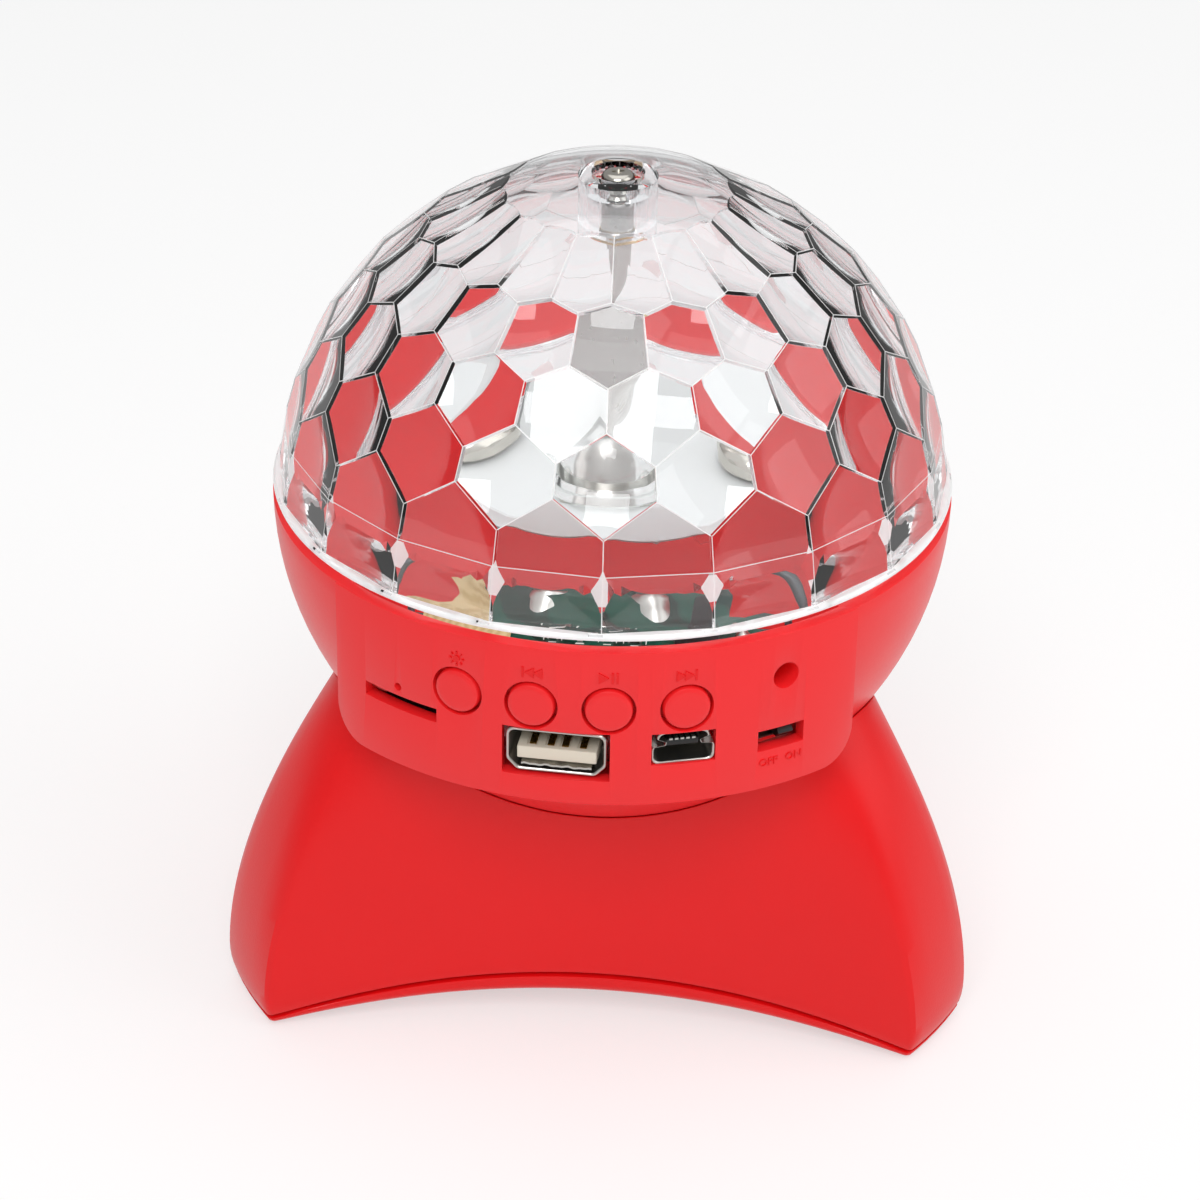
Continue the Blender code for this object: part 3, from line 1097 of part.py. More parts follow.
def make_dome():
    """A ball cut with flat facets like a gem, hollow, with a boss for the shaft screw at its pole."""
    start_x = CAP_RADIUS * math.cos(CAP_START)
    start_z = CAP_RADIUS * math.sin(CAP_START)
    slope = 1 / math.tan(CAP_START)
    side_z = start_z - (DOME_BLANK_RADIUS - start_x) * slope
    profile = [(0.0, DOME_RIM_GAP), (DOME_BLANK_RADIUS, DOME_RIM_GAP), (DOME_BLANK_RADIUS, side_z)]
    profile += arc(CAP_RADIUS, CAP_START, TURN / 4, CAP_RINGS)
    bm = turned(profile, DOME_SIDES)
    for latitude, odd in FACET_ROWS:
        up = math.radians(latitude)
        for index in range(FACETS_PER_ROW):
            around_axis = TURN * (index + odd / 2) / FACETS_PER_ROW
            normal = Vector((math.sin(around_axis) * math.cos(up), -math.cos(around_axis) * math.cos(up),
                             math.sin(up)))
            everything = bm.verts[:] + bm.edges[:] + bm.faces[:]
            bmesh.ops.bisect_plane(bm, geom=everything, plane_co=normal * FACET_RADIUS,
                                   plane_no=normal, clear_outer=True)
            rim = [edge for edge in bm.edges if edge.is_boundary]
            bmesh.ops.holes_fill(bm, edges=rim)
    bmesh.ops.dissolve_limit(bm, angle_limit=math.radians(0.2), verts=bm.verts, edges=bm.edges)
    finish_mesh(bm)
    dome = new_object("dome", bm, CLEAR_PS, on_axis(BALL_CENTRE_Z), DOME_TURNED, sharp=5.0)

    inner = FACET_RADIUS - DOME_WALL
    hub_top = math.acos(HUB_RADIUS / inner)
    bore = SCREW_SHANK_RADIUS + FIT_GAP
    seat = CAP_RADIUS - COUNTERBORE_DEPTH
    high = CAP_RADIUS + CUT_OVERRUN
    floor = seat - HUB_FLOOR
    socket = INSERT_RADIUS + FIT_GAP
    socket_top = HUB_BOTTOM + INSERT_LENGTH + FIT_GAP
    sleeve_in = SPINDLE_RADIUS + FIT_GAP
    hollow = turned([(0.0, -CUT_OVERRUN), (inner, -CUT_OVERRUN), *arc(inner, 0.0, hub_top, HOLLOW_RINGS),
                     (HUB_RADIUS, HUB_BOTTOM), (socket, HUB_BOTTOM), (socket, socket_top),
                     (sleeve_in, socket_top), (sleeve_in, floor), (bore, floor), (bore, seat),
                     (COUNTERBORE_RADIUS, seat), (COUNTERBORE_RADIUS, high), (0.0, high)], HOLLOW_SIDES)
    cut(dome, helper(new_object("dome_hollow", hollow, place=on_axis(BALL_CENTRE_Z))))
    make_screw("dome_screw", DOME_SCREW_LENGTH, on_axis(BALL_CENTRE_Z + seat + FIT_GAP))
    return dome


def make_battery():
    low = BALL_CENTRE_Z - BATTERY_DROP
    bm = box((BATTERY_LENGTH, BATTERY_WIDTH, BATTERY_THICKNESS), (0.0, 0.0, BATTERY_THICKNESS / 2))
    bmesh.ops.bevel(bm, geom=bm.edges[:], offset=BATTERY_EDGE, segments=2, affect="EDGES",
                    clamp_overlap=True)
    new_object("battery", bm, FOIL, (0.0, AXIS_Y - BATTERY_DISTANCE, low))


def smooth_route(points, steps):
    """Points on one smooth curve through the route's own points."""
    ends = [points[0] * 2 - points[1], *points, points[-1] * 2 - points[-2]]
    route = []
    for before, start, end, after in zip(ends, ends[1:], ends[2:], ends[3:]):
        for step in range(steps):
            t = step / steps
            route.append((start * 2 + (end - before) * t
                          + (before * 2 - start * 5 + end * 4 - after) * t ** 2
                          + (start * 3 - before - end * 3 + after) * t ** 3) / 2)
    route.append(points[-1])
    return route


def make_wire(name, finish, points):
    """A wire along points of (x, distance in front of the axis, height above the ball's centre), in mm."""
    places = [Vector((x * MM, AXIS_Y - ahead * MM, BALL_CENTRE_Z + up * MM)) for x, ahead, up in points]
    route = smooth_route(places, WIRE_STEPS)
    curve = bpy.data.curves.new(name, "CURVE")
    curve.dimensions = "3D"
    curve.bevel_depth = WIRE_RADIUS
    curve.bevel_resolution = 1
    curve.use_fill_caps = True
    spline = curve.splines.new("POLY")
    spline.points.add(len(route) - 1)
    for point, place in zip(spline.points, route):
        point.co = (*place, 1.0)
    curve.materials.append(finish)
    obj = bpy.data.objects.new(name, curve)
    bpy.context.scene.collection.objects.link(obj)


def make_wires():
    make_wire("lamp_wire_red", RED_WIRE,
              ((-12, 11, 2.3), (-15, 14, -2), (-21, 19, -4), (-26.5, 23, -8), (-27.2, 24.5, -10.7)))
    make_wire("lamp_wire_grey", GREY_WIRE,
              ((12, 11, 2.3), (15, 15, -2), (20, 19, -3), (26, 23, -7), (27, 25, -10.7)))
    make_wire("motor_wire_red", RED_WIRE,
              ((-2, 0, -21.9), (-3, 3, -24.5), (-5, 10, -23.5), (-7, 17, -20), (-8, 23.5, -14.1)))
    make_wire("motor_wire_black", BLACK_WIRE,
              ((2, 0, -21.9), (3, 3, -24.5), (5, 10, -23.5), (7, 17, -20), (8, 23.5, -14.1)))
    make_wire("battery_wire_red", RED_WIRE,
              ((15.9, 20, -31), (19, 19.5, -29.5), (21, 19.5, -24), (21, 21, -18), (20.5, 24, -14.1)))
    make_wire("battery_wire_black", BLACK_WIRE,
              ((15.9, 24, -31), (20, 24, -29.5), (23.5, 23.5, -24), (23.5, 24.5, -18), (23.3, 26, -14.1)))
    make_wire("speaker_wire_red", RED_WIRE,
              ((-13, 24, -14.1), (-14, 18, -19), (-9, 8, -28), (-3, 2, -38), (-2.4, 0, -46),
               (-3.2, -1, -52), (-8, -3, -53.4), (-13, -4.5, -55), (-14.4, -5, -61.5)))
    make_wire("speaker_wire_black", BLACK_WIRE,
              ((13, 24, -14.1), (14, 18, -19), (9, 8, -28), (3, 2, -38), (2.4, 0, -46),
               (3.2, -1, -52), (8, -3, -53.4), (13, -4.5, -55), (14.4, -5, -61.5)))


clear_scene()
make_shared_holes()
make_stand()
make_cover()
make_feet()
make_stand_screws()
make_speaker()
make_bowl()
make_board()
make_buttons()
make_connectors()
make_power_switch()
make_lamp()
make_motor()
make_dome()
make_battery()
make_wires()
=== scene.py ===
"""Bluetooth speaker lamp: a clear faceted dome that turns over three coloured lamps, on a red bowl with a
curved control panel, on a flared three-cornered stand."""

import math

import bmesh
import bpy
from mathutils import Matrix, Vector


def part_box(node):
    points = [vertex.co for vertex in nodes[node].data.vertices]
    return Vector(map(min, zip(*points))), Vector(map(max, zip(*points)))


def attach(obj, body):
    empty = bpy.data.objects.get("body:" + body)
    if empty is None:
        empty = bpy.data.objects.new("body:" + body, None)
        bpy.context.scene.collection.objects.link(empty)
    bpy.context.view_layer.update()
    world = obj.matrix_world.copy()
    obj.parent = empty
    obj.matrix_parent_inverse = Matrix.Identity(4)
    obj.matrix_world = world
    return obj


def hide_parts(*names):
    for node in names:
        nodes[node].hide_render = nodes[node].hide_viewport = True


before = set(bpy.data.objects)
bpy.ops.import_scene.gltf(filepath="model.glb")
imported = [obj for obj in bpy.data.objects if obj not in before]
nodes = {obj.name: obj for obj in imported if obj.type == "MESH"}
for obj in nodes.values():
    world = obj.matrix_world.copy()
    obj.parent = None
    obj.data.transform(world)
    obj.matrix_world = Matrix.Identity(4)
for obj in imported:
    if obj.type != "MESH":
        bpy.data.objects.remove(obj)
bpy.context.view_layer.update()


# The view
# The photograph looks down on the panel from a little above, from the right of its middle, and the
# picture is turned a degree clockwise.
MM = 0.001
TURN = 2 * math.pi
hub_low, hub_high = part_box("lamp_housing")
AXIS_Y = (hub_low.y + hub_high.y) / 2
RIM_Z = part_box("bowl_shell")[1].z
BALL_CENTRE = Vector((0.0, AXIS_Y, RIM_Z))
CAMERA_AZIMUTH = math.radians(3.3)
CAMERA_ELEVATION = math.radians(28.0)
CAMERA_DISTANCE = 480 * MM
CAMERA_ROLL = math.radians(1.07)
PIXELS_PER_TURNED_UNIT = 3243
PICTURE_SIDE = 1200
PICTURE_CENTRE_X = 612.6
PICTURE_CENTRE_Y = 478.0

bpy.ops.object.camera_add(location=(0.0, 0.0, 0.0))
camera = bpy.context.object
towards_camera = Vector((math.sin(CAMERA_AZIMUTH) * math.cos(CAMERA_ELEVATION),
                         -math.cos(CAMERA_AZIMUTH) * math.cos(CAMERA_ELEVATION),
                         math.sin(CAMERA_ELEVATION)))
camera.location = BALL_CENTRE + towards_camera * CAMERA_DISTANCE
aim = (-towards_camera).to_track_quat("-Z", "Y")
camera.rotation_euler = (aim.to_matrix() @ Matrix.Rotation(CAMERA_ROLL, 3, "Z")).to_euler()
camera.data.sensor_width = 36.0
camera.data.lens = PIXELS_PER_TURNED_UNIT / PICTURE_SIDE * camera.data.sensor_width
camera.data.shift_x = (PICTURE_SIDE / 2 - PICTURE_CENTRE_X) / PICTURE_SIDE
camera.data.shift_y = (PICTURE_CENTRE_Y - PICTURE_SIDE / 2) / PICTURE_SIDE
camera.data.clip_start = 10 * MM
camera.data.clip_end = 20.0
bpy.context.scene.camera = camera
bpy.context.scene.view_settings.view_transform = "Standard"


# The studio
# A white sweep of floor under a white room. The floor shows white and keeps the lamp's shadow, and the
# lamps are large and soft, one in front on the left, one on the right and one above.
def linear(hex_colour):
    """The linear colour of an sRGB hex value."""
    channels = [int(hex_colour[place:place + 2], 16) / 255 for place in (1, 3, 5)]
    return [c / 12.92 if c <= 0.04045 else ((c + 0.055) / 1.055) ** 2.4 for c in channels] + [1.0]


def add_node(tree, kind, settings=None, links=None):
    """Adds a node, gives it its settings, and fills its sockets with values or with other sockets."""
    made = tree.nodes.new(kind)
    for name, value in (settings or {}).items():
        setattr(made, name, value)
    for name, value in (links or {}).items():
        if isinstance(value, bpy.types.NodeSocket):
            tree.links.new(value, made.inputs[name])
        else:
            made.inputs[name].default_value = value
    return made


def new_material(name):
    """A material with nothing in it but its output, ready for its own nodes."""
    made = bpy.data.materials.new(name)
    made.use_nodes = True
    made.node_tree.nodes.clear()
    return made, made.node_tree


def show_surface(tree, shader):
    add_node(tree, "ShaderNodeOutputMaterial", links={"Surface": shader.outputs[0]})


paper_white, tree = new_material("white_paper_sweep")
path = add_node(tree, "ShaderNodeLightPath")
seen = add_node(tree, "ShaderNodeMath", {"operation": "MAXIMUM"},
                {0: path.outputs["Is Glossy Ray"], 1: path.outputs["Is Transmission Ray"]})
matt = add_node(tree, "ShaderNodeBsdfDiffuse", links={"Color": linear("#F4F4F4")})
glow = add_node(tree, "ShaderNodeEmission", links={"Color": linear("#FFFFFF"), "Strength": 0.92})
unseen = add_node(tree, "ShaderNodeMixShader",
                  links={0: seen.outputs[0], 1: matt.outputs[0], 2: glow.outputs[0]})
half_matt = add_node(tree, "ShaderNodeBsdfDiffuse", links={"Color": linear("#B4B4B4")})
lift = add_node(tree, "ShaderNodeEmission", links={"Color": linear("#FFFFFF"), "Strength": 0.56})
white = add_node(tree, "ShaderNodeAddShader", links={0: half_matt.outputs[0], 1: lift.outputs[0]})
lit = add_node(tree, "ShaderNodeMixShader",
               links={0: path.outputs["Is Camera Ray"], 1: unseen.outputs[0], 2: white.outputs[0]})
show_surface(tree, lit)

bpy.ops.mesh.primitive_plane_add(size=6.0, location=(0.0, 0.0, 0.0))
floor = bpy.context.object
floor.name = "studio_floor"
floor.data.materials.append(paper_white)

world = bpy.data.worlds.new("white_room")
bpy.context.scene.world = world
world.use_nodes = True
tree = world.node_tree
tree.nodes.clear()
path = add_node(tree, "ShaderNodeLightPath")
seen = add_node(tree, "ShaderNodeMath", {"operation": "MAXIMUM"},
                {0: path.outputs["Is Camera Ray"], 1: path.outputs["Is Transmission Ray"]})
plain = add_node(tree, "ShaderNodeBackground", links={"Color": linear("#FFFFFF"), "Strength": 0.36})
backdrop = add_node(tree, "ShaderNodeBackground", links={"Color": linear("#FFFFFF"), "Strength": 1.0})
shown = add_node(tree, "ShaderNodeMixShader",
                 links={0: seen.outputs[0], 1: plain.outputs[0], 2: backdrop.outputs[0]})
add_node(tree, "ShaderNodeOutputWorld", links={"Surface": shown.outputs[0]})


def soft_lamp(name, place, width, height, watts):
    """A large soft lamp that faces the ball."""
    bpy.ops.object.light_add(type="AREA", location=place)
    lamp = bpy.context.object
    lamp.name = name
    lamp.data.shape = "RECTANGLE"
    lamp.data.size = width
    lamp.data.size_y = height
    lamp.data.energy = watts
    lamp.rotation_euler = (BALL_CENTRE - Vector(place)).to_track_quat("-Z", "Y").to_euler()


soft_lamp("lamp_front", (-0.04, -0.95, 1.05), 0.8, 0.6, 8.2)
soft_lamp("lamp_right", (1.1, -0.2, 0.7), 1.0, 1.2, 4.2)
soft_lamp("lamp_above", (0.0, 0.15, 1.2), 1.4, 1.2, 4.5)


# Stand
# The flared stand is one moulding in red ABS. The tool was spark-eroded, which leaves a fine even grain that
# breaks up the shine. Its three sides are hollow, its three corners blunt, and a cup in its top takes the ball.
def moulded_plastic(name, colour, roughness, grain_mm, grain_depth_mm, shade_colour, ior=1.54, gloss=0.5):
    """Moulded ABS: one colour with a faint cloud of a second, and a grain from the tool's finish."""
    made, tree = new_material(name)
    place = add_node(tree, "ShaderNodeTexCoord")
    cloud = add_node(tree, "ShaderNodeTexNoise", links={"Vector": place.outputs["Object"],
                                                        "Scale": 1 / (30 * MM), "Detail": 2.0})
    tint = add_node(tree, "ShaderNodeMix", {"data_type": "RGBA"},
                    {0: cloud.outputs["Fac"], 6: linear(colour), 7: linear(shade_colour)})
    grain = add_node(tree, "ShaderNodeTexNoise", links={"Vector": place.outputs["Object"],
                                                        "Scale": 1 / (grain_mm * MM), "Detail": 3.0})
    relief = add_node(tree, "ShaderNodeBump", links={"Height": grain.outputs["Fac"], "Strength": 1.0,
                                                     "Distance": grain_depth_mm * MM})
    shine = add_node(tree, "ShaderNodeMapRange",
                     links={0: grain.outputs["Fac"], 3: roughness - 0.04, 4: roughness + 0.06})
    shader = add_node(tree, "ShaderNodeBsdfPrincipled",
                      links={"Base Color": tint.outputs[2], "Roughness": shine.outputs[0],
                             "IOR": ior, "Specular IOR Level": gloss, "Normal": relief.outputs[0]})
    show_surface(tree, shader)
    return made


def start_edit(piece):
    bpy.ops.object.select_all(action="DESELECT")
    bpy.context.view_layer.objects.active = piece
    piece.select_set(True)
    bpy.ops.object.mode_set(mode="EDIT")
    bpy.ops.mesh.select_mode(type="VERT")
    bpy.ops.mesh.select_all(action="SELECT")


def close_up():
    """Merges doubles, turns the faces outwards and puts the piece's place in its mesh."""
    bpy.ops.mesh.select_all(action="SELECT")
    bpy.ops.mesh.remove_doubles(threshold=0.001 * MM)
    bpy.ops.mesh.normals_make_consistent(inside=False)
    bpy.ops.object.mode_set(mode="OBJECT")
    bpy.ops.object.transform_apply(location=True, rotation=True, scale=True)


def shaped_grid(name, across, along, place):
    """A grid of faces whose every point is moved to place(share across, share along)."""
    bpy.ops.object.select_all(action="DESELECT")
    bpy.ops.mesh.primitive_grid_add(x_subdivisions=across, y_subdivisions=along, size=1.0,
                                    location=(0.0, 0.0, 0.0))
    piece = bpy.context.object
    piece.name = name
    for point in piece.data.vertices:
        point.co = place(point.co.x + 0.5, point.co.y + 0.5)
    start_edit(piece)
    close_up()
    return piece


def combine(piece, tool, operation):
    """Joins the tool to the piece, or cuts it out of the piece, and takes the tool away."""
    change = piece.modifiers.new(tool.name, "BOOLEAN")
    change.operation = operation
    change.object = tool
    change.solver = "EXACT"
    bpy.ops.object.select_all(action="DESELECT")
    bpy.context.view_layer.objects.active = piece
    piece.select_set(True)
    bpy.ops.object.modifier_apply(modifier=change.name)
    bpy.data.objects.remove(tool, do_unlink=True)


def upright_rods(name, places, radius, bottom, top, sides=32):
    """Round bars that stand at these (x, y) places, as one tool for a cut or a join."""
    bpy.ops.object.select_all(action="DESELECT")
    made = []
    for x, y in places:
        bpy.ops.mesh.primitive_cylinder_add(vertices=sides, radius=radius, depth=top - bottom,
                                            location=(x, y, (top + bottom) / 2))
        made.append(bpy.context.object)
    for rod in made:
        rod.select_set(True)
    bpy.ops.object.join()
    tool = bpy.context.object
    tool.name = name
    bpy.ops.object.transform_apply(location=True, rotation=True, scale=True)
    return tool


def around(distance, angle):
    """An (x, y) place at this distance from the dome's axis and this angle from the front."""
    return (distance * math.sin(angle), AXIS_Y - distance * math.cos(angle))


def three_around(distance, first):
    return [around(distance, first + corner * TURN / 3) for corner in range(3)]


def finish_piece(piece, body, slot_name, finish, *cad_names, smooth_below=30.0):
    """Shades a piece, gives it its material, and lets it stand for its CAD nodes."""
    bpy.ops.object.select_all(action="DESELECT")
    bpy.context.view_layer.objects.active = piece
    piece.select_set(True)
    bpy.ops.object.shade_smooth_by_angle(angle=math.radians(smooth_below))
    piece.data.materials.clear()
    piece.data.materials.append(finish)
    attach(piece, body)
    if cad_names:
        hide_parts(*cad_names)


BALL_RADIUS = 50.0 * MM
FIT_GAP = 0.3 * MM
SEAT_RADIUS = BALL_RADIUS + 0.1 * MM
STAND_TIP_Z = 0.6 * MM
STAND_BLANK_TOP_Z = 54.4 * MM
STAND_WALL = 2.0 * MM
FLARE_RADIUS = 60.7 * MM
FLARE_Z = 5.7 * MM
FLARE_SPAN = 44.0 * MM
FLARE_NARROWING = 15.9 * MM
FLARE_POWER = 1.81
TOE_NARROWING = 1.0 * MM
SIDE_DISTANCE = 30.7 * MM
CORNER_HALF_ANGLE = math.radians(7.3)
CORNER_WIDENING = math.radians(2.4)
CORNER_SOFTNESS = 0.3 * MM
CORNER_SOFTENING = 2.7 * MM
SIDE_COLUMNS = 36
CORNER_COLUMNS = 8
DISH_REACH = 60.0 * MM
DISH_RISE = 6.1 * MM
GROOVE_Z = STAND_TIP_Z + 1.6 * MM
GROOVE_RISE = 9.1 * MM
GROOVE_EDGE = 0.25 * MM


def flare(height):
    """Distance from the axis to a corner at this height."""
    if height > FLARE_Z:
        return FLARE_RADIUS - FLARE_NARROWING * ((height - FLARE_Z) / FLARE_SPAN) ** FLARE_POWER
    return FLARE_RADIUS - TOE_NARROWING * ((FLARE_Z - height) / (FLARE_Z - STAND_TIP_Z)) ** 2


def stand_point(turn_share, height, inset):
    """(x, y) from the axis on the stand's outline: hollow sides and blunt corners that meet softly."""
    share = height / STAND_BLANK_TOP_Z
    blunt = CORNER_HALF_ANGLE + CORNER_WIDENING * share
    soft = CORNER_SOFTNESS + CORNER_SOFTENING * max(share, 0.0)
    edge = TURN / 6 - blunt
    reach = flare(height)
    bow = (reach * math.cos(edge) - SIDE_DISTANCE) / (reach * math.sin(edge)) ** 2
    near = SIDE_DISTANCE - inset
    side_number = math.floor(turn_share * 3)
    column = (turn_share * 3 - side_number) * (SIDE_COLUMNS + CORNER_COLUMNS)
    if column < SIDE_COLUMNS:
        angle = edge * math.sin(TURN / 4 * (2 * column / SIDE_COLUMNS - 1))
    else:
        angle = edge + blunt * (1 - math.cos(TURN / 2 * (column - SIDE_COLUMNS) / CORNER_COLUMNS))
    off = min(abs(angle), TURN / 3 - abs(angle))
    under = math.cos(off) ** 2 - 4 * bow * near * math.sin(off) ** 2
    side = 2 * near / (math.cos(off) + math.sqrt(max(under, 0.0)))
    beyond = abs(side - (reach - inset))
    distance = min(side, reach - inset) - soft * math.log(1 + math.exp(-beyond / soft))
    turned_on = angle + side_number * TURN / 3
    return distance * math.sin(turned_on), -distance * math.cos(turned_on)


def dished_height(turn_share, tip_z, rise, inset):
    """The height at which a shallow dish meets the outline in this direction."""
    height = tip_z + rise / 2
    for _ in range(12):
        x, y = stand_point(turn_share, height, inset)
        height = tip_z + rise * (1 - (x * x + y * y) / DISH_REACH ** 2)
    return height


def ball_height(turn_share, radius, inset):
    """The height at which the outline runs into a ball round the lamp's centre."""
    low = 20.0 * MM
    high = 60.0 * MM
    for _ in range(30):
        height = (low + high) / 2
        x, y = stand_point(turn_share, height, inset)
        if x * x + y * y + (height - RIM_Z) ** 2 > radius ** 2:
            low = height
        else:
            high = height
    return (low + high) / 2


STAND_ROWS = (("cup", SEAT_RADIUS + STAND_WALL, 14), ("wall", STAND_WALL, 14), ("edge", GROOVE_EDGE, 4),
              ("face", 0.0, 36), ("seat", SEAT_RADIUS, 20))
STAND_ROW_COUNT = sum(count for _, _, count in STAND_ROWS)


def stand_surface(across, along):
    """The stand's skin, from under its cup, down the wall, round the lower edge, up and into the seat."""
    row = along * STAND_ROW_COUNT
    cup_end, wall_end, edge_end, face_end = 14, 28, 32, 68
    if row <= cup_end:
        radius = SEAT_RADIUS + STAND_WALL
        top = ball_height(across, radius, STAND_WALL)
        steep = math.acos((RIM_Z - top) / radius) * row / cup_end
        x, y = stand_point(across, top, STAND_WALL)
        scale = radius * math.sin(steep) / math.hypot(x, y)
        return (x * scale, y * scale + AXIS_Y, RIM_Z - radius * math.cos(steep))
    if row <= wall_end:
        share = (row - cup_end) / (wall_end - cup_end)
        top = ball_height(across, SEAT_RADIUS + STAND_WALL, STAND_WALL)
        low = dished_height(across, GROOVE_Z, GROOVE_RISE, STAND_WALL)
        height = top + (low - top) * share
        x, y = stand_point(across, height, STAND_WALL)
        return (x, y + AXIS_Y, height)
    if row <= edge_end:
        share = (row - wall_end) / (edge_end - wall_end)
        if share < 0.3:
            inset = STAND_WALL + (GROOVE_EDGE - STAND_WALL) * share / 0.3
            lift = 0.0
        else:
            round_off = TURN / 4 * (share - 0.3) / 0.7
            inset = GROOVE_EDGE * (1 - math.sin(round_off))
            lift = GROOVE_EDGE * (1 - math.cos(round_off))
        height = dished_height(across, GROOVE_Z, GROOVE_RISE, inset) + lift
        x, y = stand_point(across, height, inset)
        return (x, y + AXIS_Y, height)
    if row <= face_end:
        share = (row - edge_end) / (face_end - edge_end)
        low = dished_height(across, GROOVE_Z, GROOVE_RISE, 0.0) + GROOVE_EDGE
        height = low + (ball_height(across, SEAT_RADIUS, 0.0) - low) * share
        x, y = stand_point(across, height, 0.0)
        return (x, y + AXIS_Y, height)
    top = ball_height(across, SEAT_RADIUS, 0.0)
    steep = math.acos((RIM_Z - top) / SEAT_RADIUS) * (STAND_ROW_COUNT - row) / (STAND_ROW_COUNT - face_end)
    x, y = stand_point(across, top, 0.0)
    scale = SEAT_RADIUS * math.sin(steep) / math.hypot(x, y)
    return (x * scale, y * scale + AXIS_Y, RIM_Z - SEAT_RADIUS * math.cos(steep))


BOSS_RADIUS = 3.6 * MM
BORE_RADIUS = 1.6 * MM
COVER_SCREW_DISTANCE = 39.0 * MM
STAND_SCREW_DISTANCE = 14.0 * MM
red_abs = moulded_plastic("red_abs_spark_eroded", "#EC0C11", 0.36, 0.35, 0.02, "#E60A0F", gloss=0.32)
smooth_red_abs = moulded_plastic("red_abs_smooth", "#F4262A", 0.34, 0.5, 0.006, "#F12226", gloss=0.36)
def bevel_edges(piece, width, steps, wanted):
    """Rounds the edges that wanted picks, by their two ends and the angle between their faces."""
    start_edit(piece)
    bpy.ops.mesh.select_mode(type="EDGE")
    bpy.ops.mesh.select_all(action="DESELECT")
    shape = bmesh.from_edit_mesh(piece.data)
    for edge in shape.edges:
        edge.select_set(wanted(edge.verts[0].co, edge.verts[1].co, edge.calc_face_angle(0.0)))
    bpy.ops.mesh.bevel(offset=width, segments=steps, affect="EDGES", clamp_overlap=True)
    bpy.ops.mesh.select_mode(type="VERT")
    close_up()


stand = shaped_grid("flared_stand", 3 * (SIDE_COLUMNS + CORNER_COLUMNS), STAND_ROW_COUNT, stand_surface)
SEAT_EDGE = 0.35 * MM
bevel_edges(stand, SEAT_EDGE, 3, lambda start, end, angle: angle > 0.3
            and abs((start - BALL_CENTRE).length - SEAT_RADIUS) < 0.01 * MM
            and abs((end - BALL_CENTRE).length - SEAT_RADIUS) < 0.01 * MM)
posts = upright_rods("corner_posts", three_around(COVER_SCREW_DISTANCE, TURN / 6), BOSS_RADIUS,
                     8.7 * MM, 44.0 * MM)
combine(stand, posts, "UNION")
bosses = upright_rods("seat_bosses", three_around(STAND_SCREW_DISTANCE, 0.0), BOSS_RADIUS,
                      24.8 * MM, 27.9 * MM)
combine(stand, bosses, "UNION")
combine(stand, upright_rods("post_bores", three_around(COVER_SCREW_DISTANCE, TURN / 6), BORE_RADIUS,
                            0.6 * MM, 20.6 * MM, 24), "DIFFERENCE")
combine(stand, upright_rods("seat_bores", three_around(STAND_SCREW_DISTANCE, 0.0), BORE_RADIUS,
                            20.0 * MM, 36.3 * MM, 24), "DIFFERENCE")
CABLE_HOLE_RADIUS = 4.5 * MM
combine(stand, upright_rods("cable_hole", [around(0.0, 0.0)], CABLE_HOLE_RADIUS, 20.0 * MM, 32.0 * MM),
        "DIFFERENCE")
finish_piece(stand, "base", "red_abs", red_abs, "stand_shell")


# Bottom cover
# The cover is a second red moulding that closes the stand from below. It continues the stand's face up to
# a fine parting groove, rolls under at its edge, and has a slotted grille in front of the speaker.
COVER_THICKNESS = 2.5 * MM
COVER_STEP_INSET = 2.9 * MM
COVER_BRIM_Z = GROOVE_Z - 0.5 * MM
COVER_ROLL_SHARE = 0.55
COVER_ROLL_INSET_SHARE = 0.45
UNDER_ROWS = 10
BAND_ROWS = 12
COVER_ROW_COUNT = UNDER_ROWS + BAND_ROWS + 3 + UNDER_ROWS


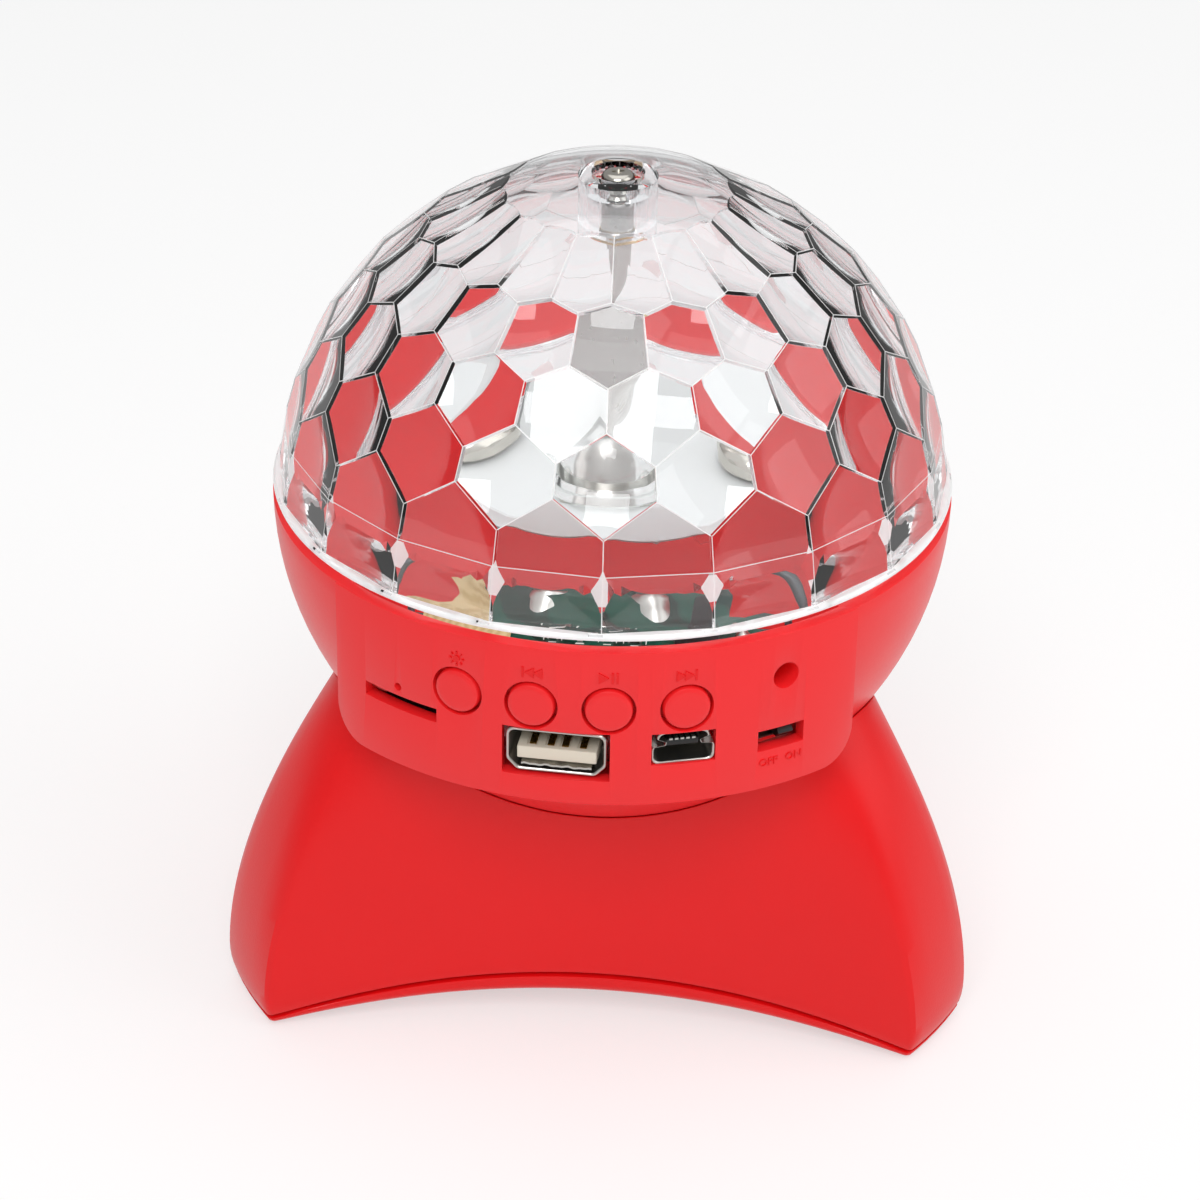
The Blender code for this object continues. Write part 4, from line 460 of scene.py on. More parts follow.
def cover_surface(across, along):
    """The cover's skin, from the middle of its underside, round the rolled edge and the step to its top."""
    row = along * COVER_ROW_COUNT
    low = dished_height(across, STAND_TIP_Z, DISH_RISE, 0.0)
    brim = dished_height(across, COVER_BRIM_Z, GROOVE_RISE, 0.0)
    roll_inset = COVER_ROLL_INSET_SHARE * (brim - low)
    if row <= UNDER_ROWS:
        x, y = stand_point(across, low, roll_inset)
        share = row / UNDER_ROWS
        height = STAND_TIP_Z + DISH_RISE * (1 - share ** 2 * (x * x + y * y) / DISH_REACH ** 2)
        return (x * share, y * share + AXIS_Y, height)
    if row <= UNDER_ROWS + BAND_ROWS:
        share = (row - UNDER_ROWS) / BAND_ROWS
        rolled = max(0.0, 1 - share / COVER_ROLL_SHARE)
        inset = roll_inset * (1 - math.sqrt(1 - rolled ** 2)) + GROOVE_EDGE * max(0.0, share * 8 - 7)
        x, y = stand_point(across, low, roll_inset)
        under = STAND_TIP_Z + DISH_RISE * (1 - (x * x + y * y) / DISH_REACH ** 2)
        height = under + (brim - under) * share
        x, y = stand_point(across, height, inset)
        return (x, y + AXIS_Y, height)
    row -= UNDER_ROWS + BAND_ROWS
    brim = dished_height(across, COVER_BRIM_Z, GROOVE_RISE, COVER_STEP_INSET)
    top_z = STAND_TIP_Z + COVER_THICKNESS
    if row <= 3:
        top = dished_height(across, top_z, DISH_RISE, COVER_STEP_INSET)
        height = brim + (top - brim) * max(0.0, row - 1) / 2
        x, y = stand_point(across, height, COVER_STEP_INSET)
        return (x, y + AXIS_Y, height)
    share = 1 - (row - 3) / UNDER_ROWS
    top = dished_height(across, top_z, DISH_RISE, COVER_STEP_INSET)
    x, y = stand_point(across, top, COVER_STEP_INSET)
    height = top_z + DISH_RISE * (1 - share ** 2 * (x * x + y * y) / DISH_REACH ** 2)
    return (x * share, y * share + AXIS_Y, height)


def turn_piece(name, outline, sides, centre, closed=False):
    """A solid of revolution: a point is extruded along an outline of (radius, height) and spun round."""
    bpy.ops.object.select_all(action="DESELECT")
    radius, height = outline[0]
    spot = Vector(centre) + Vector((radius, 0.0, height))
    bpy.ops.mesh.primitive_plane_add(size=MM, enter_editmode=True, location=spot)
    piece = bpy.context.object
    piece.name = name
    bpy.ops.mesh.select_mode(type="VERT")
    bpy.ops.mesh.select_all(action="SELECT")
    bpy.ops.mesh.merge(type="CENTER")
    ring = list(outline) + ([outline[0]] if closed else [])
    for (r0, z0), (r1, z1) in zip(ring, ring[1:]):
        bpy.ops.mesh.extrude_region_move(TRANSFORM_OT_translate={"value": (r1 - r0, 0.0, z1 - z0)})
    bpy.ops.mesh.select_all(action="SELECT")
    bpy.ops.mesh.spin(steps=sides, angle=TURN, center=centre, axis=(0.0, 0.0, 1.0))
    close_up()
    return piece


cover = shaped_grid("bottom_cover_plate", 3 * (SIDE_COLUMNS + CORNER_COLUMNS), COVER_ROW_COUNT, cover_surface)
AXIS_FOOT = (0.0, AXIS_Y, 0.0)
seat = turn_piece("speaker_seat_ring", [(17.0 * MM, 7.1 * MM), (21.8 * MM, 7.1 * MM), (21.8 * MM, 11.0 * MM),
                                        (21.5 * MM, 11.3 * MM), (20.3 * MM, 11.3 * MM), (20.3 * MM, 9.6 * MM),
                                        (17.0 * MM, 9.6 * MM)], 96, AXIS_FOOT, closed=True)
combine(cover, seat, "UNION")
combine(cover, upright_rods("cover_bosses", three_around(COVER_SCREW_DISTANCE, TURN / 6), BOSS_RADIUS,
                            5.9 * MM, 8.4 * MM), "UNION")
SCREW_WELL_RADIUS = 2.7 * MM
combine(cover, upright_rods("screw_wells", three_around(COVER_SCREW_DISTANCE, TURN / 6), SCREW_WELL_RADIUS,
                            -2.0 * MM, 6.6 * MM), "DIFFERENCE")
FOOT_DISTANCE = 49.0 * MM
FOOT_RADIUS = 4.5 * MM
combine(cover, upright_rods("foot_wells", three_around(FOOT_DISTANCE, TURN / 6), FOOT_RADIUS + FIT_GAP,
                            -2.0 * MM, 3.4 * MM, 48), "DIFFERENCE")
combine(cover, upright_rods("cover_bores", three_around(COVER_SCREW_DISTANCE, TURN / 6), BORE_RADIUS,
                            0.6 * MM, 10.4 * MM, 24), "DIFFERENCE")
for slot_number in range(7):
    x = 4.2 * MM * (slot_number - 3)
    half = math.sqrt((15.0 * MM) ** 2 - x ** 2) - 1.0 * MM
    bpy.ops.object.select_all(action="DESELECT")
    bpy.ops.mesh.primitive_cube_add(size=1.0, location=(x, AXIS_Y, 4.8 * MM),
                                    scale=(2.0 * MM, 2 * half + 2.0 * MM, 9.6 * MM))
    bar = bpy.context.object
    start_edit(bar)
    bpy.ops.mesh.select_all(action="DESELECT")
    bpy.ops.mesh.select_mode(type="EDGE")
    shape = bmesh.from_edit_mesh(bar.data)
    for edge in shape.edges:
        edge.select_set(abs(edge.verts[0].co.z - edge.verts[1].co.z) > 0.5)
    bpy.ops.object.mode_set(mode="OBJECT")
    bpy.ops.object.transform_apply(location=True, rotation=True, scale=True)
    bpy.ops.object.mode_set(mode="EDIT")
    bpy.ops.mesh.bevel(offset=0.99 * MM, segments=6, affect="EDGES")
    close_up()
    combine(cover, bar, "DIFFERENCE")
finish_piece(cover, "base", "red_abs", red_abs, "bottom_cover")


# Bowl with its control panel
# The lower half of the ball is a third red moulding. The control panel is an upright part-cylinder let into
# its front, smoother than the rest, with openings for the buttons, the sockets and the switch.
BALL_WALL = 2.0 * MM
PANEL_RADIUS = BALL_RADIUS + 0.3 * MM
PANEL_HALF_ANGLE = math.radians(46.4)
PANEL_DEPTH = 14.0 * MM
PANEL_DROP = 24.3 * MM
PANEL_CORNER = 5.5 * MM
PANEL_EDGE = 0.35 * MM
ABOVE_RIM = 4.0 * MM


def arc(radius, start, end, steps):
    """(radius, height) points on a ball round the lamp's centre, by angle above its level."""
    points = []
    for step in range(steps + 1):
        angle = start + (end - start) * step / steps
        points.append((max(radius * math.cos(angle), 0.0), radius * math.sin(angle)))
    return points


def panel_block(name, radius, half_angle, drop, corner, top):
    """A curved block behind the panel's face, with rounded lower corners."""
    half_width = radius * half_angle
    flat = half_width - corner
    places = []
    for step in range(13):
        angle = TURN / 4 * step / 12
        places.append((-flat - corner * math.cos(angle), -drop + corner * (1 - math.sin(angle))))
    for step in range(1, 80):
        places.append((flat * (2 * step / 80 - 1), -drop))
    places += [(-along, low) for along, low in reversed(places[:13])]
    last = len(places) - 1

    def section(across, along):
        column = min(last, max(0, round(across * last)))
        arc_length, low = places[column]
        corner_number = round(along * 4) % 4
        reach = radius if corner_number in (0, 1) else radius - PANEL_DEPTH
        height = top if corner_number in (0, 3) else low
        angle = arc_length / radius
        return (reach * math.sin(angle), AXIS_Y - reach * math.cos(angle), RIM_Z + height)

    block = shaped_grid(name, last, 4, section)
    start_edit(block)
    bpy.ops.mesh.select_all(action="DESELECT")
    bpy.ops.mesh.select_non_manifold()
    bpy.ops.mesh.fill_holes(sides=0)
    close_up()
    return block


def from_axis(point):
    return math.hypot(point.x, point.y - AXIS_Y)


def on_panel_face(point):
    return abs(from_axis(point) - PANEL_RADIUS) < 0.02 * MM


bowl = turn_piece("red_bowl", [(0.0, ABOVE_RIM), (BALL_RADIUS, ABOVE_RIM)]
                  + arc(BALL_RADIUS, 0.0, -TURN / 4, 30),
                  160, BALL_CENTRE)
face = panel_block("panel_blank", PANEL_RADIUS, PANEL_HALF_ANGLE, PANEL_DROP, PANEL_CORNER, ABOVE_RIM)
bevel_edges(face, PANEL_EDGE, 3, lambda start, end, angle: angle > 1.0 and on_panel_face(start)
            and on_panel_face(end) and min(start.z, end.z) < RIM_Z + ABOVE_RIM / 2)
combine(bowl, face, "UNION")
HOLLOW_RADIUS = BALL_RADIUS - BALL_WALL
hollow = turn_piece("bowl_hollow", [(0.0, 2 * ABOVE_RIM), (HOLLOW_RADIUS, 2 * ABOVE_RIM)]
                    + arc(HOLLOW_RADIUS, 0.0, -TURN / 4, 24), 128, BALL_CENTRE)
combine(bowl, hollow, "DIFFERENCE")
back = panel_block("panel_hollow", PANEL_RADIUS - BALL_WALL, PANEL_HALF_ANGLE - BALL_WALL / BALL_RADIUS,
                   PANEL_DROP - BALL_WALL, PANEL_CORNER - BALL_WALL, 2 * ABOVE_RIM)
combine(bowl, back, "DIFFERENCE")

PCB_SCREW_X = 31.0 * MM
PCB_SCREW_AHEAD = 26.0 * MM
PCB_TOP_Z = RIM_Z - 11.6 * MM
PCB_BOTTOM_Z = PCB_TOP_Z - 1.6 * MM
LAMP_POST_DISTANCE = 19.0 * MM
LAMP_LEG_Z = RIM_Z - 8.0 * MM
board_posts = [(x, AXIS_Y - PCB_SCREW_AHEAD) for x in (-PCB_SCREW_X, PCB_SCREW_X)]
standing = [upright_rods("seat_posts", three_around(STAND_SCREW_DISTANCE, 0.0), BOSS_RADIUS,
                         27.0 * MM, 38.1 * MM),
            upright_rods("lamp_posts", three_around(LAMP_POST_DISTANCE, TURN / 6), BOSS_RADIUS,
                         28.0 * MM, LAMP_LEG_Z - FIT_GAP),
            upright_rods("board_posts", board_posts, BOSS_RADIUS, 40.0 * MM, PCB_BOTTOM_Z - FIT_GAP)]
for x in (-9.0 * MM, 9.0 * MM):
    bpy.ops.object.select_all(action="DESELECT")
    bpy.ops.mesh.primitive_cube_add(size=1.0, location=(x, AXIS_Y - 22.0 * MM, 37.0 * MM),
                                    scale=(1.6 * MM, 12.0 * MM, 9.8 * MM))
    bpy.ops.object.transform_apply(location=True, rotation=True, scale=True)
    standing.append(bpy.context.object)
for tool in standing:
    limit = turn_piece("post_limit", arc(BALL_RADIUS - 1.0 * MM, TURN / 4, -TURN / 4, 40), 96, BALL_CENTRE)
    combine(tool, limit, "INTERSECT")
    combine(bowl, tool, "UNION")

bpy.ops.object.select_all(action="DESELECT")
bpy.ops.mesh.primitive_cube_add(size=1.0, location=(0.0, AXIS_Y, RIM_Z + 10 * MM),
                                scale=(150 * MM, 150 * MM, 20 * MM))
bpy.ops.object.transform_apply(location=True, rotation=True, scale=True)
combine(bowl, bpy.context.object, "DIFFERENCE")
combine(bowl, upright_rods("lamp_post_bores", three_around(LAMP_POST_DISTANCE, TURN / 6), BORE_RADIUS,
                           RIM_Z - 17.0 * MM, RIM_Z - 6.0 * MM, 24), "DIFFERENCE")
combine(bowl, upright_rods("board_post_bores", board_posts, BORE_RADIUS, PCB_TOP_Z - 10.0 * MM, PCB_TOP_Z, 24),
        "DIFFERENCE")
combine(bowl, upright_rods("seat_screw_bores", three_around(STAND_SCREW_DISTANCE, 0.0), BORE_RADIUS,
                           20.0 * MM, 36.3 * MM, 24), "DIFFERENCE")
combine(bowl, upright_rods("bowl_cable_hole", [around(0.0, 0.0)], CABLE_HOLE_RADIUS, 20.0 * MM, 32.0 * MM),
        "DIFFERENCE")

BUTTON_ANGLES = [math.radians(angle) for angle in (-21.1, -8.85, 3.4, 15.65)]
BLIND_HOLE_ANGLE = math.radians(32.2)
BLIND_HOLE_DROP = 6.7 * MM
BUTTON_DROP = 9.1 * MM
BUTTON_HOLE_RADIUS = 3.75 * MM
CARD_ANGLE = math.radians(-32.0)
CARD_DROP = 14.1 * MM
USB_ANGLE = math.radians(-4.9)
USB_DROP = 16.7 * MM
MINI_ANGLE = math.radians(15.3)
MINI_DROP = 15.5 * MM
SWITCH_ANGLE = math.radians(31.8)
SWITCH_DROP = 16.5 * MM
OPENING_DEPTH = 8.0 * MM


def panel_place(angle, drop, forward=0.0):
    """A place on the panel's face, or this far in front of it."""
    x, y = around(PANEL_RADIUS + forward, angle)
    return (x, y, RIM_Z - drop)


bpy.ops.object.select_all(action="DESELECT")
bpy.ops.mesh.primitive_cylinder_add(vertices=48, radius=2.9 * MM, depth=3.6 * MM,
                                    location=panel_place(BLIND_HOLE_ANGLE, BLIND_HOLE_DROP, -3.4 * MM),
                                    rotation=(TURN / 4, 0.0, BLIND_HOLE_ANGLE))
bpy.ops.object.transform_apply(location=True, rotation=True, scale=True)
combine(bowl, bpy.context.object, "UNION")
round_openings = [(angle, BUTTON_DROP, BUTTON_HOLE_RADIUS, 64) for angle in BUTTON_ANGLES]
round_openings += [(math.radians(-32.2), 11.6 * MM, 0.6 * MM, 24), (BLIND_HOLE_ANGLE, BLIND_HOLE_DROP, 2.0 * MM, 48)]
for angle, drop, radius, sides in round_openings:
    bpy.ops.object.select_all(action="DESELECT")
    bpy.ops.mesh.primitive_cylinder_add(vertices=sides, radius=radius, depth=OPENING_DEPTH,
                                        location=panel_place(angle, drop),
                                        rotation=(TURN / 4, 0.0, angle))
    bpy.ops.object.transform_apply(location=True, rotation=True, scale=True)
    combine(bowl, bpy.context.object, "DIFFERENCE")
square_openings = [(CARD_ANGLE, CARD_DROP, 12.6 * MM, 2.2 * MM), (USB_ANGLE, USB_DROP, 15.0 * MM, 7.6 * MM),
                   (MINI_ANGLE, MINI_DROP, 9.0 * MM, 5.0 * MM), (SWITCH_ANGLE, SWITCH_DROP, 7.3 * MM, 3.3 * MM)]
for angle, drop, width, height in square_openings:
    bpy.ops.object.select_all(action="DESELECT")
    bpy.ops.mesh.primitive_cube_add(size=1.0, location=panel_place(angle, drop), rotation=(0.0, 0.0, angle),
                                    scale=(width, OPENING_DEPTH, height))
    bpy.ops.object.transform_apply(location=True, rotation=True, scale=True)
    combine(bowl, bpy.context.object, "DIFFERENCE")
MOUTH_EDGE = 0.18 * MM
bevel_edges(bowl, MOUTH_EDGE, 2, lambda start, end, angle: angle > 0.8
            and (on_panel_face(start) and on_panel_face(end) and start.z > RIM_Z - 22 * MM
                 or abs(start.z - RIM_Z) + abs(end.z - RIM_Z) < 0.01 * MM and from_axis(start) > 40 * MM))
finish_piece(bowl, "base", "red_abs", smooth_red_abs, "bowl_shell")


# Dome
# Clear polystyrene, moulded in a polished tool whose flats leave facets that meet in fine lines. The inside
# is a plain ball. A thick boss at the pole takes the screw of the motor's column.
clear_polystyrene, tree = new_material("clear_polystyrene_polished")
glass = add_node(tree, "ShaderNodeBsdfPrincipled",
                 links={"Base Color": linear("#FBFCFD"), "Roughness": 0.0, "IOR": 1.59,
                        "Transmission Weight": 1.0})
open_air = add_node(tree, "ShaderNodeBsdfTransparent", links={"Color": linear("#E9EAEB")})
path = add_node(tree, "ShaderNodeLightPath")
lets_light_in = add_node(tree, "ShaderNodeMixShader",
                         links={0: path.outputs["Is Shadow Ray"], 1: glass.outputs[0],
                                2: open_air.outputs[0]})
show_surface(tree, lets_light_in)

DOME_RIM_GAP = 1.5 * MM
FACET_RADIUS = 48.5 * MM
CAP_RADIUS = 49.1 * MM
CAP_START = math.radians(66.0)
DOME_WALL = 0.6 * MM
LENS_TIP = FACET_RADIUS - 2.1 * MM
LENS_RADIUS = 33.0 * MM
LENS_CENTRE = LENS_TIP + LENS_RADIUS
BEYOND_DOME = 55.0 * MM
LOW_LENS = math.radians(3.5)
FACETS_PER_ROW = 20
FACET_ROWS = ((9.1, 1), (15.5, 1), (27.0, 0), (38.0, 1), (50.0, 0), (62.0, 1))
DOME_TURNED = math.radians(2.0)
FACET_LINE = 0.16 * MM
start_x = CAP_RADIUS * math.cos(CAP_START)
start_z = CAP_RADIUS * math.sin(CAP_START)
blank_radius = BALL_RADIUS + 1.5 * MM
side_z = start_z - (blank_radius - start_x) / math.tan(CAP_START)
dome = turn_piece("faceted_dome", [(0.0, DOME_RIM_GAP), (blank_radius, DOME_RIM_GAP), (blank_radius, side_z)]
                  + arc(CAP_RADIUS, CAP_START, TURN / 4, 26), 160, BALL_CENTRE)
facet_normals = []
lens_normals = []
start_edit(dome)
for latitude, odd in FACET_ROWS:
    up = math.radians(latitude)
    for facet in range(FACETS_PER_ROW):
        across = TURN * (facet + odd / 2) / FACETS_PER_ROW + DOME_TURNED
        normal = Vector((math.sin(across) * math.cos(up), -math.cos(across) * math.cos(up), math.sin(up)))
        facet_normals.append(normal)
        if latitude == FACET_ROWS[0][0]:
            lens_normals.append(Vector((math.sin(across) * math.cos(LOW_LENS), -math.cos(across) * math.cos(LOW_LENS),
                                        math.sin(LOW_LENS))))
        else:
            lens_normals.append(normal)
        bpy.ops.mesh.select_all(action="SELECT")
        bpy.ops.mesh.bisect(plane_co=BALL_CENTRE + normal * FACET_RADIUS, plane_no=normal, use_fill=True,
                            clear_outer=True, threshold=0.0001 * MM)
bpy.ops.mesh.select_all(action="SELECT")
bpy.ops.mesh.dissolve_limited(angle_limit=math.radians(0.1))
close_up()


def lens_reach(direction):
    """How far the dome's hollow reaches in a direction, with a lens behind every facet."""
    reach = BEYOND_DOME
    for normal in lens_normals:
        along = direction.dot(normal)
        if along > 0.93:
            reach = min(reach, LENS_CENTRE * along
                        - math.sqrt(LENS_RADIUS ** 2 - LENS_CENTRE ** 2 * (1 - along ** 2)))
    return reach


bpy.ops.object.select_all(action="DESELECT")
dome.select_set(True)
bpy.context.view_layer.objects.active = dome
bpy.ops.object.duplicate()
lenses = bpy.context.object
lenses.name = "dome_lenses"
start_edit(lenses)
bpy.ops.mesh.select_mode(type="FACE")
bpy.ops.mesh.select_all(action="DESELECT")
shape = bmesh.from_edit_mesh(lenses.data)
for surface in shape.faces:
    surface.select_set(surface.calc_area() > (3.0 * MM) ** 2 and surface.normal.z > -0.5)
bpy.ops.mesh.poke()
bpy.ops.mesh.subdivide(number_cuts=5)
bpy.ops.mesh.select_mode(type="VERT")
close_up()
for point in lenses.data.vertices:
    out = point.co - BALL_CENTRE
    low = out.z < DOME_RIM_GAP + 0.01 * MM
    point.co = BALL_CENTRE + out.normalized() * lens_reach(out.normalized())
    if low:
        point.co.z = RIM_Z - 2.0 * MM
CREASE_LINE = 0.22 * MM
bevel_edges(lenses, CREASE_LINE, 1, lambda start, end, angle: angle > 0.25
            and min(start.z, end.z) > RIM_Z + 0.5 * MM)
bevel_edges(dome, FACET_LINE, 2, lambda start, end, angle: angle > math.radians(5.0)
            and (start.z > RIM_Z + DOME_RIM_GAP + 0.01 * MM or end.z > RIM_Z + DOME_RIM_GAP + 0.01 * MM)
            and min((start - BALL_CENTRE).length, (end - BALL_CENTRE).length) > 1 * MM
            and (start - end).length > 1.0 * MM)

HUB_RADIUS = 5.6 * MM
HUB_BOTTOM = 37.4 * MM
INSERT_RADIUS = 3.6 * MM
INSERT_LENGTH = 3.0 * MM
SPINDLE_RADIUS = 2.3 * MM
COUNTERBORE_RADIUS = 3.7 * MM
COUNTERBORE_SEAT = CAP_RADIUS - 1.8 * MM
HUB_FLOOR_Z = CAP_RADIUS - 4.1 * MM
inner = FACET_RADIUS - DOME_WALL
hub_top = math.acos(HUB_RADIUS / inner)
HUB_EDGE = 0.4 * MM
bead = turn_piece("dome_bead", [(47.0 * MM, DOME_RIM_GAP), (49.6 * MM, DOME_RIM_GAP),
                                (49.85 * MM, DOME_RIM_GAP + 0.15 * MM), (49.95 * MM, DOME_RIM_GAP + 0.45 * MM),
                                (49.85 * MM, DOME_RIM_GAP + 0.75 * MM), (49.6 * MM, DOME_RIM_GAP + 0.95 * MM),
                                (49.2 * MM, DOME_RIM_GAP + 1.0 * MM), (47.0 * MM, DOME_RIM_GAP + 1.0 * MM)],
                  160, BALL_CENTRE, closed=True)
combine(dome, bead, "UNION")
hollow = turn_piece("dome_hollow", [(0.0, -2.0 * MM), (inner, -2.0 * MM), *arc(inner, 0.0, hub_top, 36),
                                    (HUB_RADIUS, HUB_BOTTOM + HUB_EDGE),
                                    (HUB_RADIUS - HUB_EDGE, HUB_BOTTOM),
                                    (INSERT_RADIUS + FIT_GAP, HUB_BOTTOM),
                                    (INSERT_RADIUS + FIT_GAP, HUB_BOTTOM + INSERT_LENGTH + FIT_GAP),
                                    (SPINDLE_RADIUS + FIT_GAP, HUB_BOTTOM + INSERT_LENGTH + FIT_GAP),
                                    (SPINDLE_RADIUS + FIT_GAP, HUB_FLOOR_Z), (BORE_RADIUS, HUB_FLOOR_Z),
                                    (BORE_RADIUS, COUNTERBORE_SEAT), (COUNTERBORE_RADIUS, COUNTERBORE_SEAT),
                                    (COUNTERBORE_RADIUS, CAP_RADIUS - 0.25 * MM),
                                    (COUNTERBORE_RADIUS + 0.3 * MM, CAP_RADIUS + 0.05 * MM),
                                    (COUNTERBORE_RADIUS + 0.3 * MM, CAP_RADIUS + 2.0 * MM),
                                    (0.0, CAP_RADIUS + 2.0 * MM)], 128, BALL_CENTRE)
combine(lenses, hollow, "INTERSECT")
combine(dome, lenses, "DIFFERENCE")
finish_piece(dome, "spinning_dome", "clear_polystyrene", clear_polystyrene, "dome", smooth_below=5.0)

# Painted highlight: the rounded facet lines, the bead round the lower edge and the creases inside are real edges, but
# they take this whitish, half-frosted material so that they show as bright white lines whichever way the light falls,
# in place of the edges' own reflections.
painted_edge_highlights, tree = new_material("clear_polystyrene_soft_edges")
painted_white_highlight = add_node(tree, "ShaderNodeBsdfPrincipled",
                 links={"Base Color": linear("#FFFFFF"), "Roughness": 0.35, "IOR": 1.59,
                        "Transmission Weight": 0.35})
open_air = add_node(tree, "ShaderNodeBsdfTransparent", links={"Color": linear("#E9EAEB")})
path = add_node(tree, "ShaderNodeLightPath")
show_surface(tree, add_node(tree, "ShaderNodeMixShader", links={0: path.outputs["Is Shadow Ray"],
                                                                1: painted_white_highlight.outputs[0], 2: open_air.outputs[0]}))
dome.data.materials.append(painted_edge_highlights)
# Every outer face off the facets and the cap, and the inner crease strips, take the painted white highlight.
for surface in dome.data.polygons:
    out = surface.center - BALL_CENTRE
    lengths = [(dome.data.vertices[index].co - BALL_CENTRE).length for index in surface.vertices]
    on_ball = min(max(abs(length - radius) for length in lengths) for radius in (CAP_RADIUS, inner)) < 0.02 * MM
    if out.xy.length < 8.0 * MM or on_ball:
        continue
    if out.length < FACET_RADIUS - 0.1 * MM:
        flat = -out.normalized().dot(surface.normal)
        off_centre = max(normal.dot(out.normalized()) for normal in lens_normals)
        if (flat > math.cos(math.radians(5.0)) and off_centre < math.cos(math.radians(6.0))
                and 3.0 * MM < out.z < inner * math.sin(math.radians(66.0))):
            surface.material_index = 1
        continue
    on_facet = max(normal.dot(surface.normal) for normal in facet_normals) > math.cos(math.radians(1.5))
    if not on_facet:
        surface.material_index = 1

# Metals
# Screws are nickel plated, sockets are tin plated, the column is turned steel and the bush is turned brass.
# Each has fine scratches and a slight unevenness that break up its reflections.
def bright_metal(name, colour, roughness, scratch_mm, dull_colour):
    """A plated or turned metal with fine scratches and a faint second tone."""
    made, tree = new_material(name)
    place = add_node(tree, "ShaderNodeTexCoord")
    tone = add_node(tree, "ShaderNodeTexNoise", links={"Vector": place.outputs["Object"],
                                                       "Scale": 1 / (3 * MM), "Detail": 3.0})
    tint = add_node(tree, "ShaderNodeMix", {"data_type": "RGBA"},
                    {0: tone.outputs["Fac"], 6: linear(colour), 7: linear(dull_colour)})
    scratch = add_node(tree, "ShaderNodeTexNoise", links={"Vector": place.outputs["Object"],
                                                          "Scale": 1 / (scratch_mm * MM), "Detail": 4.0})
    relief = add_node(tree, "ShaderNodeBump", links={"Height": scratch.outputs["Fac"], "Strength": 1.0,
                                                     "Distance": 0.003 * MM})
    shine = add_node(tree, "ShaderNodeMapRange",
                     links={0: scratch.outputs["Fac"], 3: roughness - 0.06, 4: roughness + 0.08})
    shader = add_node(tree, "ShaderNodeBsdfPrincipled",
                      links={"Base Color": tint.outputs[2], "Metallic": 1.0, "Roughness": shine.outputs[0],
                             "Normal": relief.outputs[0]})
    show_surface(tree, shader)
    return made


def repaint(finish, *names):
    """Gives carried CAD nodes a better material."""
    for name in names:
        nodes[name].data.materials.clear()
        nodes[name].data.materials.append(finish)


nickel_plate = bright_metal("nickel_plated_steel", "#D9D6CF", 0.20, 0.4, "#C6C1B7")
tin_plate = bright_metal("tin_plated_steel", "#CFCDC8", 0.30, 0.5, "#B9B6B0")
turned_steel = bright_metal("turned_steel", "#C9C6C4", 0.24, 0.3, "#B2ABA8")
turned_brass = bright_metal("turned_brass", "#C9A26A", 0.28, 0.3, "#A98450")
gold_flash = bright_metal("gold_flashed_contacts", "#D8B266", 0.25, 0.3, "#B98F48")
repaint(turned_steel, "motor_shaft", "gear_motor")
repaint(tin_plate, "speaker_basket", "slide_switch")


# Column and bush
# The motor turns a column of turned steel: a wide foot, a groove-free shoulder and a slim spindle. The dome
# sits on the spindle with a brass bush pressed in its boss.
COLUMN_RADIUS = 4.9 * MM
COLUMN_FOOT = RIM_Z + 6.5 * MM
COLUMN_TOP = RIM_Z + 30.0 * MM
SPINDLE_TOP = RIM_Z + HUB_FLOOR_Z - FIT_GAP
SHAFT_BORE = 1.8 * MM
column = turn_piece("turned_drive_column",
                    [(SHAFT_BORE, COLUMN_FOOT), (COLUMN_RADIUS - 0.3 * MM, COLUMN_FOOT),
                     (COLUMN_RADIUS, COLUMN_FOOT + 0.3 * MM), (COLUMN_RADIUS, COLUMN_TOP - 0.8 * MM),
                     (COLUMN_RADIUS - 0.25 * MM, COLUMN_TOP - 0.25 * MM),
                     (COLUMN_RADIUS - 0.8 * MM, COLUMN_TOP), (SPINDLE_RADIUS + 0.5 * MM, COLUMN_TOP),
                     (SPINDLE_RADIUS + 0.2 * MM, COLUMN_TOP + 0.2 * MM),
                     (SPINDLE_RADIUS, COLUMN_TOP + 0.6 * MM), (SPINDLE_RADIUS, SPINDLE_TOP - 0.3 * MM),
                     (SPINDLE_RADIUS - 0.3 * MM, SPINDLE_TOP), (BORE_RADIUS, SPINDLE_TOP),
                     (BORE_RADIUS, SPINDLE_TOP - 8.2 * MM), (0.0, SPINDLE_TOP - 8.2 * MM),
                     (0.0, RIM_Z + 16.3 * MM), (SHAFT_BORE, RIM_Z + 16.3 * MM)], 72, AXIS_FOOT, closed=True)
finish_piece(column, "spinning_dome", "nickelled_steel", turned_steel, "drive_column")
bush_low = RIM_Z + HUB_BOTTOM
bush = turn_piece("brass_bush", [(2.6 * MM, bush_low + 0.2 * MM), (2.8 * MM, bush_low),
                                 (INSERT_RADIUS - 0.2 * MM, bush_low), (INSERT_RADIUS, bush_low + 0.2 * MM),
                                 (INSERT_RADIUS, bush_low + 1.2 * MM), (3.3 * MM, bush_low + 1.4 * MM),
                                 (3.3 * MM, bush_low + 1.7 * MM), (INSERT_RADIUS, bush_low + 1.9 * MM),
                                 (INSERT_RADIUS, bush_low + INSERT_LENGTH), (2.6 * MM, bush_low + INSERT_LENGTH)],
                  72, AXIS_FOOT, closed=True)
finish_piece(bush, "spinning_dome", "brass", turned_brass, "brass_insert")


# Screws
# Cross-head screws with pan heads and rolled threads. One holds the dome, three the lamp body, two the main
# board, three the stand and three the bottom cover.
SCREW_HEAD_RADIUS = 2.4 * MM
SCREW_HEAD_HEIGHT = 1.4 * MM
SHANK_RADIUS = 1.3 * MM
THREAD_PITCH = 0.8 * MM
THREAD_DEPTH = 0.22 * MM


